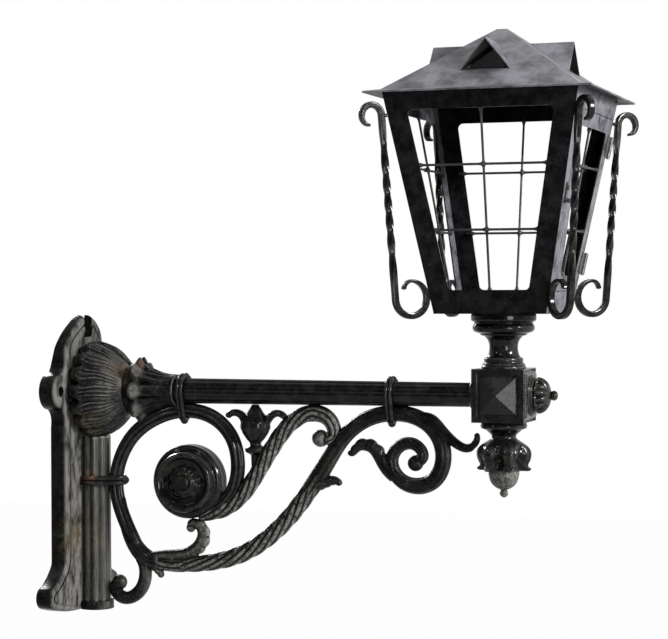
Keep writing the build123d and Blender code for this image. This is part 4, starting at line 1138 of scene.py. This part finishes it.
panel_flare = 60
panel_foot_zs = (-245, -205)
foot_inset = 8
foot_zs = (-232, -195)
nose_lift = 4
nose_zs = (52, 80)
plate_crease = 50
cut_reach = 60
seat_reach = 40


def plate_shape():
    """Outline of the plate drawn in by steps of (inset, x) from the wall to the panel.

    The panel runs straight past the ears and flares at the foot, and the nose stands a little forward.
    """
    run = np.roll(plate_loop, -1, axis=0) - np.roll(plate_loop, 1, axis=0)
    inward = np.stack([-run[:, 1], run[:, 0]], axis=1) / np.linalg.norm(run, axis=1)[:, None]
    rows = []
    for inset, x in plate_steps:
        past_foot = max(inset - foot_inset, 0) * ramp(plate_loop[:, 1], *foot_zs)
        ring = plate_loop + np.minimum(inset, foot_inset + past_foot)[:, None] * inward
        if inset >= panel_from:
            widest = panel_half + panel_from - inset + panel_flare * (1 - ramp(ring[:, 1], *panel_foot_zs))
            ring[:, 0] = np.clip(ring[:, 0], -widest, widest)
        lift = nose_lift * ramp(ring[:, 1], *nose_zs) * min(1, x / 12)
        rows.append(np.column_stack([x + lift, ring]))
    middle = rows[-1] * (1, 0.01, 1)
    return skin(np.array(rows + [middle]))


def box_shape(low, high):
    """Box between two corners."""
    x, y, z = zip(low, high)
    rows = [[(x[0], y[0], k), (x[1], y[0], k), (x[1], y[1], k), (x[0], y[1], k)] for k in z]
    return skin(np.array(rows, float))


def round_shape(centre, radius, length, sides=40):
    """Round rod that points out of the wall."""
    angle = np.linspace(0, TURN, sides, endpoint=False)[:, None]
    ring = np.asarray(centre, float) + radius * (np.cos(angle) * UP + np.sin(angle) * np.cross(OUT, UP))
    return skin(np.array([ring - length / 2 * OUT, ring + length / 2 * OUT]))


plate = casting("plate_casting", plate_shape(), "wall_plate", "bracket_iron_plate", crease=plate_crease)
nose_side = ((-30, 30), (0, 30), (15.3, plate_top + 1), (-30, plate_top + 1))
nose_wedge = np.array([[(x, y, z) for x, z in nose_side] for y in (-100, 100)], float)
cut_shapes = {
    "slot_cut": box_shape((-5, -plate_slot / 2, 65), (40, plate_slot / 2, 140)),
    "near_hole": round_shape((plate_t / 2, -hole_y, 0), hole_r, cut_reach),
    "far_hole": round_shape((plate_t / 2, hole_y, 0), hole_r, cut_reach),
    "arm_seat": round_shape((arm_start_x + seat_reach / 2, 0, 0), cup_bore, seat_reach),
    "nose_cut": skin(nose_wedge),
}
cutters = [new_object(name, shape) for name, shape in cut_shapes.items()]
for cutter in cutters:
    cut = plate.modifiers.new(cutter.name, "BOOLEAN")
    cut.object = cutter
    cut.operation = "DIFFERENCE"
    cut.solver = "EXACT"
apply_modifiers(plate)
shade(plate.data, plate_crease)
for cutter in cutters:
    bpy.data.objects.remove(cutter)


# CAD nodes that keep their shape

slots = {row["node"]: row["material_slot"] for row in frame["record"]["subparts"]}
kept_looks = {"rosette_bolt": "bracket_iron_block", "rosette_nut": "bracket_iron_block"}
for name, obj in nodes.items():
    if obj.hide_render:
        continue
    look = "bracket_iron_plain" if slots[name] == "bracket_iron" else slots[name]
    obj.data.materials.clear()
    obj.data.materials.append(materials[kept_looks.get(name, look)])


# Stage

def shown_rays(g):
    """1 on the rays that see the white background: the camera's own, mirrored and see-through ones."""
    path = g.new("ShaderNodeLightPath").outputs
    mirrored = g.maths("MAXIMUM", path["Is Camera Ray"], path["Is Glossy Ray"])
    return g.maths("MAXIMUM", mirrored, path["Is Transmission Ray"])


def stage_floor():
    """Grey paper to the light, white to the camera and in mirrors."""
    low = cad_box[0][2] - floor_drop * MM
    half = floor_half * MM
    corners = ((-half, -half), (half, -half), (half, half), (-half, half))
    mesh = bpy.data.meshes.new("floor")
    mesh.from_pydata([(x, y, low) for x, y in corners], [], [(0, 1, 2, 3)])
    floor = bpy.data.objects.new("floor", mesh)
    bpy.context.scene.collection.objects.link(floor)
    material = bpy.data.materials.new("floor")
    g = Graph(material)
    paper = g.new("ShaderNodeBsdfDiffuse", {"Color": rgb(0.45, 0.45, 0.45)}).outputs[0]
    white = g.new("ShaderNodeEmission", {"Color": rgb(1, 1, 1), "Strength": 1.0}).outputs[0]
    share = g.times(shown_rays(g), floor_white)
    both = g.new("ShaderNodeMixShader", {0: share, 1: paper, 2: white}).outputs[0]
    g.new("ShaderNodeOutputMaterial", {"Surface": both})
    mesh.materials.append(material)


def studio_world():
    """White to the camera, and dim on its side for all other rays, so that near faces stay black."""
    world = bpy.data.worlds.new("studio")
    bpy.context.scene.world = world
    g = Graph(world)
    direction = g.new("ShaderNodeTexCoord").outputs["Generated"]
    depth = g.new("ShaderNodeSeparateXYZ", {0: direction}).outputs["Y"]
    behind = g.band(depth, -0.75, 0.25)
    path = g.new("ShaderNodeLightPath").outputs
    lighting = g.span(behind, 0.02, 0.35)
    mirrored = g.span(behind, 0.06, 1.0)
    level = g.new("ShaderNodeMix", {0: shown_rays(g), 2: lighting, 3: mirrored}).outputs[0]
    level = g.new("ShaderNodeMix", {0: path["Is Camera Ray"], 2: level, 3: 1.0}).outputs[0]
    back = g.new("ShaderNodeBackground", {"Color": rgb(1, 1, 1), "Strength": level}).outputs[0]
    g.new("ShaderNodeOutputWorld", {"Surface": back})


def soft_light(name, place, target, size, watts):
    """Round area lamp turned to its target."""
    lamp = bpy.data.lights.new(name, "AREA")
    lamp.shape = "DISK"
    lamp.size = size
    lamp.energy = watts
    obj = bpy.data.objects.new(name, lamp)
    obj.location = place
    obj.rotation_euler = (Vector(target) - Vector(place)).to_track_quat("-Z", "Y").to_euler()
    bpy.context.scene.collection.objects.link(obj)


def photo_camera():
    """Camera with the place, turn and focus of the photo's."""
    az, el, roll = (math.radians(v) for v in (photo_azimuth, photo_elevation, photo_roll))
    ahead = Vector((-math.sin(az) * math.cos(el), math.cos(az) * math.cos(el), -math.sin(el)))
    right = Vector((math.cos(az), math.sin(az), 0))
    above = right.cross(ahead)
    across = math.cos(roll) * right + math.sin(roll) * above
    above = across.cross(ahead)
    camera = bpy.data.cameras.new("photo")
    camera.sensor_fit = "HORIZONTAL"
    camera.sensor_width = sensor_w
    camera.lens = photo_focus * sensor_w / photo_w
    obj = bpy.data.objects.new("photo", camera)
    turn = Matrix((across, above, -ahead)).transposed().to_4x4()
    obj.matrix_world = Matrix.Translation(Vector(photo_from) * MM) @ turn
    bpy.context.scene.collection.objects.link(obj)
    bpy.context.scene.camera = obj


stage_floor()
studio_world()
for name, lamp in lamps.items():
    soft_light(name, *lamp)
photo_camera()
bpy.context.scene.view_settings.view_transform = "Standard"
